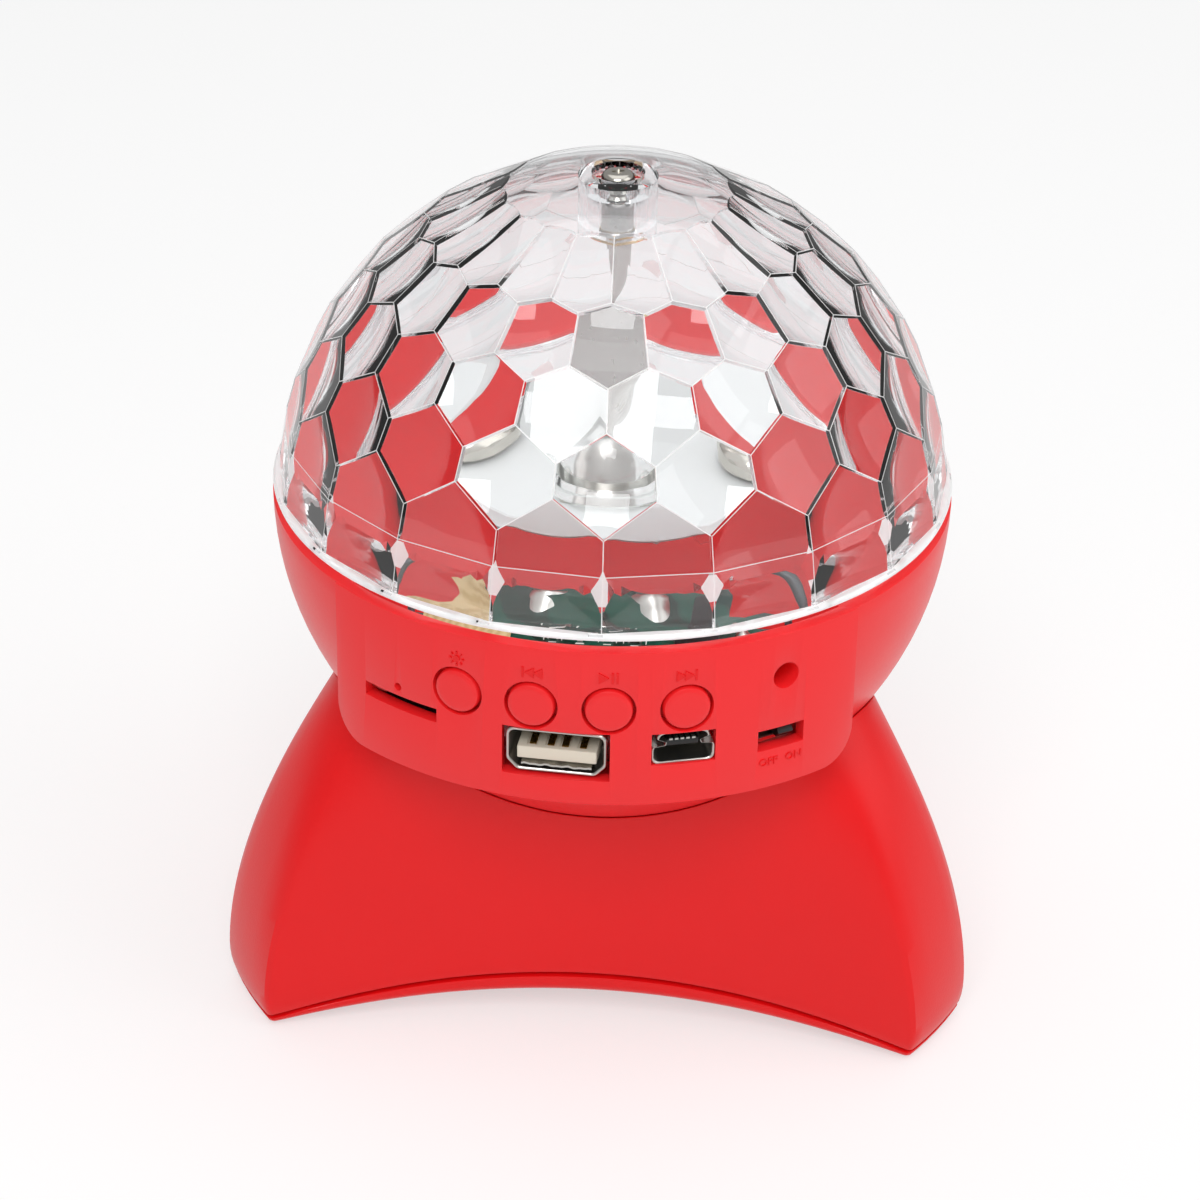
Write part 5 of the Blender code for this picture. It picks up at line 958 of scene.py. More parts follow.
def cross_head_screw(name, length, place, body, cad_name, upside_down=False):
    """A pan-head screw with its head's seat at this place."""
    outline = [(0.0, -length)]
    outline.append((SHANK_RADIUS / 3, -length))
    height = -length + SHANK_RADIUS
    while height < -THREAD_PITCH:
        outline.append((SHANK_RADIUS - THREAD_DEPTH, height))
        outline.append((SHANK_RADIUS, height + THREAD_PITCH / 2))
        height += THREAD_PITCH
    outline += [(SHANK_RADIUS, 0.0), (SCREW_HEAD_RADIUS - 0.1 * MM, 0.0), (SCREW_HEAD_RADIUS, 0.12 * MM)]
    for step in range(7):
        angle = TURN / 4 * step / 6
        outline.append((1.3 * MM + 1.1 * MM * math.cos(angle), 0.4 * MM + 1.0 * MM * math.sin(angle)))
    outline.append((0.0, SCREW_HEAD_HEIGHT))
    screw = turn_piece(name, outline, 32, (0.0, 0.0, 0.0))
    for turn in (0.0, TURN / 4):
        bpy.ops.object.select_all(action="DESELECT")
        bpy.ops.mesh.primitive_cube_add(size=1.0, location=(0.0, 0.0, SCREW_HEAD_HEIGHT),
                                        rotation=(0.0, 0.0, turn + 0.3),
                                        scale=(2.7 * MM, 0.65 * MM, 1.7 * MM))
        bar = bpy.context.object
        bpy.ops.object.transform_apply(location=False, rotation=False, scale=True)
        for point in bar.data.vertices:
            if point.co.z < 0.0:
                point.co.x *= 0.35
                point.co.y *= 0.6
        bpy.ops.object.transform_apply(location=True, rotation=True, scale=True)
        combine(screw, bar, "DIFFERENCE")
    screw.location = place
    screw.rotation_euler = (TURN / 2 if upside_down else 0.0, 0.0, 0.0)
    bpy.ops.object.select_all(action="DESELECT")
    screw.select_set(True)
    bpy.context.view_layer.objects.active = screw
    bpy.ops.object.transform_apply(location=True, rotation=True, scale=True)
    finish_piece(screw, body, "nickelled_steel", nickel_plate, cad_name)


cross_head_screw("dome_cross_screw", 8.2 * MM, (0.0, AXIS_Y, RIM_Z + COUNTERBORE_SEAT + FIT_GAP),
                 "spinning_dome", "dome_screw")
for corner in range(3):
    number = corner + 1
    x, y = around(LAMP_POST_DISTANCE, TURN / 6 + corner * TURN / 3)
    cross_head_screw(f"lamp_cross_screw_{number}", 20.0 * MM, (x, y, RIM_Z + 6.8 * MM), "base",
                     f"lamp_screw_{number}")
    x, y = around(COVER_SCREW_DISTANCE, TURN / 6 + corner * TURN / 3)
    cross_head_screw(f"cover_cross_screw_{number}", 12.0 * MM, (x, y, 6.3 * MM), "base",
                     f"cover_screw_{number}", upside_down=True)
    x, y = around(STAND_SCREW_DISTANCE, corner * TURN / 3)
    cross_head_screw(f"stand_cross_screw_{number}", 9.5 * MM, (x, y, 24.5 * MM), "base",
                     f"stand_screw_{number}", upside_down=True)
for number, (x, y) in enumerate(board_posts):
    cross_head_screw(f"board_cross_screw_{number + 1}", 8.0 * MM, (x, y, PCB_TOP_Z + FIT_GAP), "base",
                     f"pcb_screw_{number + 1}")


# Feet
# Three soft rubber feet sit in wells under the stand's corners. Their faces are slightly crowned and matt.
black_rubber = moulded_plastic("black_rubber", "#141414", 0.78, 0.25, 0.02, "#1C1C1C", ior=1.52)
for corner in range(3):
    x, y = around(FOOT_DISTANCE, TURN / 6 + corner * TURN / 3)
    foot = turn_piece(f"soft_foot_{corner + 1}",
                      [(0.0, 0.0), (3.0 * MM, 0.0), (3.9 * MM, 0.08 * MM), (4.3 * MM, 0.3 * MM),
                       (FOOT_RADIUS, 0.7 * MM), (FOOT_RADIUS, 3.1 * MM), (0.0, 3.1 * MM)], 48, (x, y, 0.0))
    finish_piece(foot, "base", "black_rubber", black_rubber, f"rubber_foot_{corner + 1}")


# Push buttons
# Four round caps in the panel's smooth red. Each has a flange behind the wall and a stem to its switch, and
# its face is slightly crowned with a soft edge.


def set_into_panel(piece, angle, drop, lying=True):
    """Moves a piece to its place on the panel. Lying, what was its top faces out of the panel."""
    bpy.ops.object.select_all(action="DESELECT")
    bpy.context.view_layer.objects.active = piece
    piece.select_set(True)
    piece.location = panel_place(angle, drop)
    piece.rotation_euler = (TURN / 4 if lying else 0.0, 0.0, angle)
    bpy.ops.object.transform_apply(location=True, rotation=True, scale=True)


BUTTON_RADIUS = 3.3 * MM
for name, body, angle in (("lamp_button", "lamp_push", BUTTON_ANGLES[0]),
                          ("previous_button", "previous_push", BUTTON_ANGLES[1]),
                          ("play_button", "play_push", BUTTON_ANGLES[2]),
                          ("next_button", "next_push", BUTTON_ANGLES[3])):
    cap = turn_piece(name + "_cap", [(0.0, 0.35 * MM), (1.2 * MM, 0.34 * MM), (2.4 * MM, 0.28 * MM),
                                     (2.85 * MM, 0.2 * MM), (3.15 * MM, 0.02 * MM),
                                     (BUTTON_RADIUS, -0.3 * MM), (BUTTON_RADIUS, -2.5 * MM),
                                     (4.1 * MM, -2.5 * MM), (4.1 * MM, -3.4 * MM), (1.4 * MM, -3.4 * MM),
                                     (1.4 * MM, -6.8 * MM), (0.0, -6.8 * MM)], 64, (0.0, 0.0, 0.0))
    set_into_panel(cap, angle, BUTTON_DROP)
    finish_piece(cap, body, "red_button_abs", smooth_red_abs, name)


# Signs on the panel
# Low raised signs, formed in the same tool as the panel: a lamp, back, play and pause, and on above the
# buttons, and ON and OFF under the switch. They take the stand's darker red, not the panel's lighter one;
# that darker colour is painted shade, standing in for the shading round their low relief.
SIGN_RELIEF = 0.16 * MM
SIGN_DROP = 3.9 * MM
sign_shapes = []


def flat_sign(corners, angle, drop):
    """A small raised plate with these (x, z) corners in millimetres, bent to the panel's face."""
    bpy.ops.object.select_all(action="DESELECT")
    bpy.ops.mesh.primitive_circle_add(vertices=len(corners), radius=MM, fill_type="NGON",
                                      location=(0.0, 0.0, 0.0))
    plate = bpy.context.object
    for point, (x, z) in zip(plate.data.vertices, corners):
        point.co = (x * MM, z * MM, 0.0)
    start_edit(plate)
    bpy.ops.mesh.subdivide(number_cuts=1)
    bpy.ops.mesh.extrude_region_move(TRANSFORM_OT_translate={"value": (0.0, 0.0, 2 * SIGN_RELIEF)})
    close_up()
    for point in plate.data.vertices:
        reach = PANEL_RADIUS - SIGN_RELIEF + point.co.z
        turned_by = angle + point.co.x / PANEL_RADIUS
        point.co = (reach * math.sin(turned_by), AXIS_Y - reach * math.cos(turned_by),
                    RIM_Z - drop + point.co.y)
    sign_shapes.append(plate)


def triangle(x, size, way):
    return [(x - way * size / 2, -size * 0.62), (x + way * size / 2, 0.0), (x - way * size / 2, size * 0.62)]


def bar_sign(x, width, height):
    return [(x - width / 2, -height / 2), (x + width / 2, -height / 2), (x + width / 2, height / 2),
            (x - width / 2, height / 2)]


for corners in (triangle(-0.2, 1.3, -1), triangle(0.95, 1.3, -1), bar_sign(-1.15, 0.28, 1.6)):
    flat_sign(corners, BUTTON_ANGLES[1], SIGN_DROP)
for corners in (triangle(-0.75, 1.4, 1), bar_sign(0.45, 0.34, 1.6), bar_sign(1.1, 0.34, 1.6)):
    flat_sign(corners, BUTTON_ANGLES[2], SIGN_DROP)
for corners in (triangle(-0.95, 1.3, 1), triangle(0.2, 1.3, 1), bar_sign(1.15, 0.28, 1.6)):
    flat_sign(corners, BUTTON_ANGLES[3], SIGN_DROP)
disc = [(0.5 * math.cos(TURN * step / 20), 0.5 * math.sin(TURN * step / 20)) for step in range(20)]
flat_sign(disc, BUTTON_ANGLES[0], SIGN_DROP)
for ray in range(8):
    bearing = TURN * ray / 8
    ahead = Vector((math.cos(bearing), math.sin(bearing)))
    sideways = Vector((-ahead.y, ahead.x)) * 0.12
    corners = [ahead * 0.75 - sideways, ahead * 1.15 - sideways, ahead * 1.15 + sideways,
               ahead * 0.75 + sideways]
    flat_sign([(corner.x, corner.y) for corner in corners], BUTTON_ANGLES[0], SIGN_DROP)
for words, angle in (("OFF", math.radians(29.6)), ("ON", math.radians(34.2))):
    bpy.ops.object.select_all(action="DESELECT")
    bpy.ops.object.text_add(location=(0.0, 0.0, 0.0))
    lettering = bpy.context.object
    lettering.data.body = words
    lettering.data.size = 1.7 * MM
    lettering.data.align_x = "CENTER"
    lettering.data.extrude = SIGN_RELIEF
    lettering.data.resolution_u = 3
    bpy.ops.object.convert(target="MESH")
    for point in lettering.data.vertices:
        reach = PANEL_RADIUS + point.co.z
        turned_by = angle + point.co.x / PANEL_RADIUS
        point.co = (reach * math.sin(turned_by), AXIS_Y - reach * math.cos(turned_by),
                    RIM_Z - 20.6 * MM + point.co.y)
    sign_shapes.append(lettering)
bpy.ops.object.select_all(action="DESELECT")
for plate in sign_shapes:
    plate.select_set(True)
bpy.context.view_layer.objects.active = sign_shapes[0]
bpy.ops.object.join()
signs = bpy.context.object
signs.name = "panel_signs"
start_edit(signs)
close_up()
# The signs' darker red is painted shade for the shading round their relief.
finish_piece(signs, "base", "red_abs", red_abs)


# USB socket
# A folded shell of tinned steel with rounded corners, open to the front, with two pressed springs in its
# floor. Its tongue is off-white nylon with four gold contacts.
def box_at(name, size, centre, turn=0.0):
    """An upright box of this size at a place, turned about the vertical."""
    bpy.ops.object.select_all(action="DESELECT")
    bpy.ops.mesh.primitive_cube_add(size=1.0, location=centre, rotation=(0.0, 0.0, turn), scale=size)
    made = bpy.context.object
    made.name = name
    bpy.ops.object.transform_apply(location=True, rotation=True, scale=True)
    return made


def soften(piece, width, steps=2, least_angle=0.5):
    """Rounds every edge that is sharper than an angle."""
    bevel_edges(piece, width, steps, lambda start, end, angle: angle > least_angle)


def join_pieces(name, parts):
    bpy.ops.object.select_all(action="DESELECT")
    for part in parts:
        part.select_set(True)
    bpy.context.view_layer.objects.active = parts[0]
    if len(parts) > 1:
        bpy.ops.object.join()
    joined = bpy.context.object
    joined.name = name
    return joined


def rounded_outline(corners, radius, steps=4):
    """The corners of an (x, z) outline in millimetres, each rounded to this radius."""
    outline = []
    count = len(corners)
    for index in range(count):
        corner = Vector(corners[index])
        before = (Vector(corners[index - 1]) - corner).normalized()
        after = (Vector(corners[(index + 1) % count]) - corner).normalized()
        half = before.angle(after) / 2
        reach = radius / math.tan(half)
        centre = corner + (before + after).normalized() * (radius / math.sin(half))
        start = corner + before * reach - centre
        end = corner + after * reach - centre
        for step in range(steps + 1):
            outline.append(centre + start.slerp(end, step / steps))
    return outline


def folded_shell(name, corners, radius, sheet_mm, front, back):
    """A shell folded round an outline, open in front and closed behind, in the panel's own directions."""
    outline = rounded_outline(corners, radius)
    count = len(outline)
    wide = max(abs(point.x) for point in outline)
    tall = max(abs(point.y) for point in outline)
    rows = ((sheet_mm, back - sheet_mm), (sheet_mm, front + 0.12), (sheet_mm * 0.7, front),
            (sheet_mm * 0.3, front), (0.0, front + 0.12), (0.0, back))

    def fold(across, along):
        point = outline[round(across * count) % count]
        inset, depth = rows[round(along * (len(rows) - 1))]
        return (point.x * (1 - inset / wide) * MM, depth * MM, point.y * (1 - inset / tall) * MM)

    shell = shaped_grid(name, count, len(rows) - 1, fold)
    start_edit(shell)
    bpy.ops.mesh.select_all(action="DESELECT")
    bpy.ops.mesh.select_non_manifold()
    bpy.ops.mesh.fill_holes(sides=0)
    close_up()
    return shell


usb_shell = folded_shell("usb_socket_shell", [(-6.55, 2.9), (6.55, 2.9), (6.55, -1.5), (5.3, -2.9),
                                              (-5.3, -2.9), (-6.55, -1.5)], 0.55, 0.4, 0.8, 13.8)
spring = shaped_grid("usb_spring", 24, 6, lambda across, along: (
    (across - 0.5) * 9.8 * MM, (1.1 + 4.4 * along) * MM,
    (-2.3 + 0.55 * along + 0.13 * math.sin(across * 31) * math.cos(along * 5 + across * 9)) * MM))
start_edit(spring)
bpy.ops.mesh.extrude_region_move(TRANSFORM_OT_translate={"value": (0.0, 0.0, -0.28 * MM)})
close_up()
usb_shell = join_pieces("usb_socket_shell", [usb_shell, spring])
set_into_panel(usb_shell, USB_ANGLE, USB_DROP, lying=False)
finish_piece(usb_shell, "base", "tinned_steel", tin_plate, "usb_shell")

socket_nylon = moulded_plastic("off_white_nylon", "#E9E0CF", 0.42, 0.4, 0.004, "#DDD3C0", ior=1.53)
usb_tongue = box_at("usb_socket_tongue", (11.1 * MM, 10.6 * MM, 1.9 * MM), (0.0, 6.7 * MM, -0.85 * MM))
soften(usb_tongue, 0.18 * MM, 3)
for x in (-3.5, -1.0, 1.0, 3.5):
    combine(usb_tongue, box_at("contact_groove", (1.5 * MM, 8.0 * MM, 0.5 * MM),
                               (x * MM, 6.2 * MM, 0.1 * MM)), "DIFFERENCE")
set_into_panel(usb_tongue, USB_ANGLE, USB_DROP, lying=False)
finish_piece(usb_tongue, "base", "socket_white", socket_nylon, "usb_tongue")
contacts = join_pieces("usb_socket_contacts", [box_at("contact", (0.95 * MM, 7.4 * MM, 0.2 * MM),
                                                      (x * MM, 6.2 * MM, -0.02 * MM))
                                               for x in (-3.5, -1.0, 1.0, 3.5)])
soften(contacts, 0.05 * MM)
set_into_panel(contacts, USB_ANGLE, USB_DROP, lying=False)
finish_piece(contacts, "base", "brass", gold_flash)


# Mini USB socket
# A smaller folded shell with a waist, wide at its foot, with a black tongue and five contacts in it.
black_plastic = moulded_plastic("black_nylon", "#0D0D0E", 0.42, 0.4, 0.006, "#131314", ior=1.53)
mini_shell = folded_shell("mini_socket_shell", [(-3.1, 1.95), (3.1, 1.95), (3.1, 0.9), (3.85, -0.2),
                                                (3.85, -1.95), (-3.85, -1.95), (-3.85, -0.2), (-3.1, 0.9)],
                          0.4, 0.36, 0.4, 9.7)
set_into_panel(mini_shell, MINI_ANGLE, MINI_DROP, lying=False)
finish_piece(mini_shell, "base", "tinned_steel", tin_plate, "mini_usb_shell")
mini_tongue = box_at("mini_socket_tongue", (4.6 * MM, 6.6 * MM, 1.0 * MM), (0.0, 4.5 * MM, 0.35 * MM))
soften(mini_tongue, 0.12 * MM)
set_into_panel(mini_tongue, MINI_ANGLE, MINI_DROP, lying=False)
finish_piece(mini_tongue, "base", "black_plastic", black_plastic, "mini_usb_tongue")
mini_contacts = join_pieces("mini_socket_contacts", [box_at("contact", (0.5 * MM, 6.0 * MM, 0.3 * MM),
                                                            (x * MM, 4.1 * MM, 0.9 * MM))
                                                     for x in (-1.6, -0.8, 0.0, 0.8, 1.6)])
soften(mini_contacts, 0.03 * MM)
set_into_panel(mini_contacts, MINI_ANGLE, MINI_DROP, lying=False)
finish_piece(mini_contacts, "base", "tinned_steel", tin_plate)


# Card socket
# A flat box of tinned sheet under the board. Its mouth stands just behind the panel's slot, and a sprung
# tab shows at its left end.
CARD_MIDDLE = CARD_DROP - (11.6 + 1.6 + 0.3 + 0.8) * MM
card_shell = folded_shell("card_socket_shell", [(-7.0, 0.8), (7.0, 0.8), (7.0, -0.8), (-7.0, -0.8)],
                          0.12, 0.24, 1.1, 14.9)
card_spring = box_at("card_spring", (2.6 * MM, 2.4 * MM, 0.9 * MM), (-5.0 * MM, 3.0 * MM, 0.0))
soften(card_spring, 0.2 * MM, 3)
card_shell = join_pieces("card_socket_shell", [card_shell, card_spring])
set_into_panel(card_shell, CARD_ANGLE, CARD_DROP - CARD_MIDDLE, lying=False)
finish_piece(card_shell, "base", "tinned_steel", tin_plate, "card_socket")
card_bed = box_at("card_socket_bed", (13.4 * MM, 9.0 * MM, 0.25 * MM), (0.0, 8.0 * MM, -0.45 * MM))
soften(card_bed, 0.05 * MM)
set_into_panel(card_bed, CARD_ANGLE, CARD_DROP - CARD_MIDDLE, lying=False)
finish_piece(card_bed, "base", "black_plastic", black_plastic)


# Power switch lever
# A black nylon lever whose sloped nose is pushed along the slot with a fingertip.
LEVER_LEFT = 0.0
LEVER_RIGHT = 2.4 * MM
lever = box_at("switch_lever", (2.4 * MM, 4.0 * MM, 1.8 * MM), (1.2 * MM, 2.7 * MM, 0.0))
start_edit(lever)
bpy.ops.mesh.subdivide(number_cuts=3)
close_up()
for point in lever.data.vertices:
    nose = max(0.0, 1 - (point.co.y - 0.7 * MM) / (1.2 * MM))
    point.co.y += nose * 0.8 * MM * abs(point.co.z) / (0.9 * MM)
    point.co.x += nose * 0.25 * MM * (-1 if point.co.x < 1.2 * MM else 0.0) * (1 - abs(point.co.z) / (0.9 * MM))
    point.co.x = min(max(point.co.x, LEVER_LEFT), LEVER_RIGHT)
soften(lever, 0.12 * MM, 3, 0.7)
set_into_panel(lever, SWITCH_ANGLE, SWITCH_DROP, lying=False)
finish_piece(lever, "power_slider", "black_plastic", black_plastic, "power_lever")


# Main board
# A segment of green fibreglass board behind the panel, with tinned pads, small parts and white print. Four
# black push switches stand at its edge, and tape holds the lamp's leads down.
green_mask, tree = new_material("green_solder_mask")
place = add_node(tree, "ShaderNodeTexCoord")
tracks = add_node(tree, "ShaderNodeTexWave", {"wave_type": "BANDS", "bands_direction": "DIAGONAL"},
                  {"Vector": place.outputs["Object"], "Scale": 1 / (2.2 * MM) / 6.28, "Distortion": 6.0,
                   "Detail": 1.0, "Detail Scale": 1.0})
track_edge = add_node(tree, "ShaderNodeMapRange", links={0: tracks.outputs["Fac"], 1: 0.45, 2: 0.55})
tint = add_node(tree, "ShaderNodeMix", {"data_type": "RGBA"},
                {0: track_edge.outputs[0], 6: linear("#06332A"), 7: linear("#0F5142")})
relief = add_node(tree, "ShaderNodeBump", links={"Height": track_edge.outputs[0], "Strength": 1.0,
                                                 "Distance": 0.03 * MM})
shader = add_node(tree, "ShaderNodeBsdfPrincipled", links={"Base Color": tint.outputs[2], "Roughness": 0.28,
                                                           "IOR": 1.55, "Normal": relief.outputs[0]})
show_surface(tree, shader)

PCB_RADIUS = 45.4 * MM
PCB_BACK = 22.0 * MM
board = upright_rods("green_main_board", [around(0.0, 0.0)], PCB_RADIUS, PCB_BOTTOM_Z, PCB_TOP_Z, 200)
start_edit(board)
bpy.ops.mesh.bisect(plane_co=(0.0, AXIS_Y - PCB_BACK, 0.0), plane_no=(0.0, 1.0, 0.0), use_fill=True,
                    clear_outer=True)
close_up()
soften(board, 0.12 * MM, 2, 1.0)
combine(board, upright_rods("board_holes", board_posts, BORE_RADIUS, PCB_BOTTOM_Z - 2 * MM, PCB_TOP_Z + 2 * MM,
                            32), "DIFFERENCE")
finish_piece(board, "base", "green_solder_mask", green_mask, "main_pcb")

chip_bodies = []
chip_ends = []
print_marks = []
taken = [(-19.0, 26.5, 8.0, 5.5), (14.0, 27.0, 5.5, 4.8), (-31.0, 26.0, 4.0, 4.0), (31.0, 26.0, 4.0, 4.0),
         (-27.2, 24.5, 1.6, 1.6), (27.0, 25.0, 1.6, 1.6), (-8.0, 23.5, 1.6, 1.6), (8.0, 23.5, 1.6, 1.6),
         (20.5, 24.0, 1.6, 1.6), (23.3, 26.0, 1.6, 1.6), (-13.0, 24.0, 1.6, 1.6), (13.0, 24.0, 1.6, 1.6)]
for row, ahead in enumerate((24.2, 27.4, 30.6, 33.8, 37.0)):
    for column_number in range(-8, 9):
        x = column_number * 3.9 + (1.3 if row % 2 else 0.0)
        if math.hypot(x, ahead) > 39.5 or any(abs(x - mid_x) < half_x + 1.0 and abs(ahead - mid_y) < half_y + 0.4
                                              for mid_x, mid_y, half_x, half_y in taken):
            continue
        turn = 0.0 if (column_number + row) % 3 else TURN / 4
        long_side = 1.6 if (column_number * 7 + row * 3) % 5 else 2.0
        centre_y = AXIS_Y - ahead * MM
        along = Vector((math.cos(turn), math.sin(turn)))
        chip_bodies.append(box_at("chip", (long_side * 0.7 * MM, 0.8 * MM, 0.5 * MM),
                                  (x * MM, centre_y, PCB_TOP_Z + 0.25 * MM), turn))
        for side in (-1, 1):
            shift = along * side * long_side * 0.42 * MM
            chip_ends.append(box_at("chip_end", (0.38 * MM, 0.84 * MM, 0.54 * MM),
                                    (x * MM + shift.x, centre_y + shift.y, PCB_TOP_Z + 0.27 * MM), turn))
            shift = along * side * long_side * 0.8 * MM
            print_marks.append(box_at("mark", (0.14 * MM, 1.3 * MM, 0.05 * MM),
                                      (x * MM + shift.x, centre_y + shift.y, PCB_TOP_Z + 0.02 * MM), turn))
        print_marks.append(box_at("mark", (1.1 * MM, 0.16 * MM, 0.05 * MM),
                                  (x * MM, centre_y - 1.15 * MM, PCB_TOP_Z + 0.02 * MM)))
small_parts = join_pieces("board_chips", chip_bodies)
soften(small_parts, 0.06 * MM, 1)
ceramic = moulded_plastic("ceramic_chips", "#2A2623", 0.35, 0.4, 0.004, "#4A4038", ior=1.6)
finish_piece(small_parts, "base", "black_plastic", ceramic)
ends = join_pieces("board_chip_ends", chip_ends)
soften(ends, 0.06 * MM, 1)
finish_piece(ends, "base", "tinned_steel", tin_plate)
marks = join_pieces("board_print", print_marks)
white_print = moulded_plastic("white_board_print", "#F2F2EE", 0.6, 0.3, 0.004, "#E6E6E0", ior=1.5)
finish_piece(marks, "base", "white_abs", white_print)
joints = []
for x, ahead in ((-27.2, 24.5), (27.0, 25.0), (-8.0, 23.5), (8.0, 23.5), (20.5, 24.0), (23.3, 26.0),
                 (-13.0, 24.0), (13.0, 24.0)):
    joints.append(turn_piece("solder_joint", [(0.0, -0.05 * MM), (1.15 * MM, -0.05 * MM), (0.9 * MM, 0.2 * MM),
                                              (0.6 * MM, 0.6 * MM), (0.45 * MM, 0.85 * MM), (0.0, 0.95 * MM)], 20,
                             (x * MM, AXIS_Y - ahead * MM, PCB_TOP_Z)))
finish_piece(join_pieces("board_solder_joints", joints), "base", "tinned_steel", tin_plate)

controller = [box_at("controller", (6.2 * MM, 5.2 * MM, 1.1 * MM),
                     (14 * MM, AXIS_Y - 27 * MM, PCB_TOP_Z + 0.95 * MM))]
soften(controller[0], 0.12 * MM)
combine(controller[0], upright_rods("first_pin_mark", [(11.8 * MM, AXIS_Y - 28.6 * MM)], 0.35 * MM,
                                    PCB_TOP_Z + 1.4 * MM, PCB_TOP_Z + 2.0 * MM, 20), "DIFFERENCE")
finish_piece(controller[0], "base", "black_plastic", black_plastic, "bluetooth_chip")
legs = []
for side in (-1, 1):
    for leg_number in range(8):
        legs.append(box_at("leg", (0.36 * MM, 0.9 * MM, 0.5 * MM),
                           ((11.4 + 0.74 * leg_number) * MM, AXIS_Y - (27 + side * 2.9) * MM,
                            PCB_TOP_Z + 0.3 * MM)))
leg_row = join_pieces("chip_legs", legs)
soften(leg_row, 0.08 * MM, 1)
finish_piece(leg_row, "base", "tinned_steel", tin_plate)
repaint(black_plastic, "tact_switch_1", "tact_switch_2", "tact_switch_3", "tact_switch_4")

crepe_tape, tree = new_material("tan_crepe_tape")
place = add_node(tree, "ShaderNodeTexCoord")
crepe = add_node(tree, "ShaderNodeTexWave", {"bands_direction": "X"},
                 {"Vector": place.outputs["Object"], "Scale": 1 / (0.6 * MM) / 6.28, "Distortion": 5.0,
                  "Detail": 3.0, "Detail Scale": 2.0})
# Painted shade: the tape is darker in its crinkles' valleys and lighter on their ridges, along the same bands that
# raise its bump.
tint = add_node(tree, "ShaderNodeMix", {"data_type": "RGBA"},
                {0: crepe.outputs["Fac"], 6: linear("#C9AE7C"), 7: linear("#DCC595")})
relief = add_node(tree, "ShaderNodeBump", links={"Height": crepe.outputs["Fac"], "Strength": 1.0,
                                                 "Distance": 0.06 * MM})
shader = add_node(tree, "ShaderNodeBsdfPrincipled", links={"Base Color": tint.outputs[2], "Roughness": 0.65,
                                                           "IOR": 1.48, "Normal": relief.outputs[0]})
show_surface(tree, shader)
tape = box_at("crepe_tape_patch", (13.0 * MM, 8.0 * MM, 0.25 * MM), (-19 * MM, AXIS_Y - 26.5 * MM,
                                                                     PCB_TOP_Z + 0.45 * MM))
start_edit(tape)
bpy.ops.mesh.subdivide(number_cuts=18)
close_up()
for point in tape.data.vertices:
    point.co.z += 0.10 * MM * math.sin(point.co.x / (1.1 * MM)) * math.cos(point.co.y / (2.3 * MM))
finish_piece(tape, "base", "masking_tape", crepe_tape, "wire_tape", smooth_below=50.0)


# Lamp body
# A white ABS disc with a short skirt, three legs that stand on the bowl's posts and a cradle for the motor.
# It carries the lamp board, which is white too, with three clear lamps on it.
white_abs = moulded_plastic("white_abs", "#DADAD9", 0.38, 0.4, 0.006, "#D0D0CF")
LAMP_TOP_Z = RIM_Z + 5.0 * MM
LAMP_UNDER_Z = RIM_Z + 3.0 * MM
lamp_body = turn_piece("white_lamp_body",
                       [(4.4 * MM, LAMP_UNDER_Z), (23.4 * MM, LAMP_UNDER_Z), (23.4 * MM, RIM_Z + 1.6 * MM),
                        (24.7 * MM, RIM_Z + 1.6 * MM), (25.0 * MM, RIM_Z + 1.9 * MM),
                        (25.0 * MM, LAMP_TOP_Z - 1.0 * MM), (24.9 * MM, LAMP_TOP_Z - 0.6 * MM),
                        (24.6 * MM, LAMP_TOP_Z - 0.25 * MM), (24.0 * MM, LAMP_TOP_Z), (23.2 * MM, LAMP_TOP_Z),
                        (4.4 * MM, LAMP_TOP_Z)], 128, AXIS_FOOT, closed=True)
combine(lamp_body, upright_rods("lamp_legs", three_around(LAMP_POST_DISTANCE, TURN / 6), BOSS_RADIUS,
                                LAMP_LEG_Z, LAMP_UNDER_Z + 1.0 * MM), "UNION")
for x in (-7.0 * MM, 7.0 * MM):
    combine(lamp_body, box_at("motor_cradle", (1.4 * MM, 10.0 * MM, 8.0 * MM),
                              (x, AXIS_Y, LAMP_UNDER_Z - 3.0 * MM)), "UNION")
combine(lamp_body, upright_rods("lamp_bores", three_around(LAMP_POST_DISTANCE, TURN / 6), BORE_RADIUS,
                                LAMP_LEG_Z - 2 * MM, LAMP_TOP_Z + 2 * MM, 32), "DIFFERENCE")
finish_piece(lamp_body, "base", "white_abs", white_abs, "lamp_housing")

LAMP_BOARD_Z = LAMP_TOP_Z + FIT_GAP
lamp_board = turn_piece("white_lamp_board", [(7.0 * MM, LAMP_BOARD_Z), (22.4 * MM, LAMP_BOARD_Z),
                                             (22.4 * MM, LAMP_BOARD_Z + 1.1 * MM),
                                             (22.3 * MM, LAMP_BOARD_Z + 1.2 * MM),
                                             (7.1 * MM, LAMP_BOARD_Z + 1.2 * MM),
                                             (7.0 * MM, LAMP_BOARD_Z + 1.1 * MM)], 128, AXIS_FOOT, closed=True)
combine(lamp_board, upright_rods("lamp_board_holes", three_around(LAMP_POST_DISTANCE, TURN / 6), BORE_RADIUS,
                                 LAMP_BOARD_Z - 2 * MM, LAMP_BOARD_Z + 4 * MM, 32), "DIFFERENCE")
white_mask = moulded_plastic("white_solder_mask", "#DCDDDC", 0.34, 0.4, 0.004, "#D2D3D2", ior=1.5)
finish_piece(lamp_board, "base", "white_abs", white_mask, "led_board")

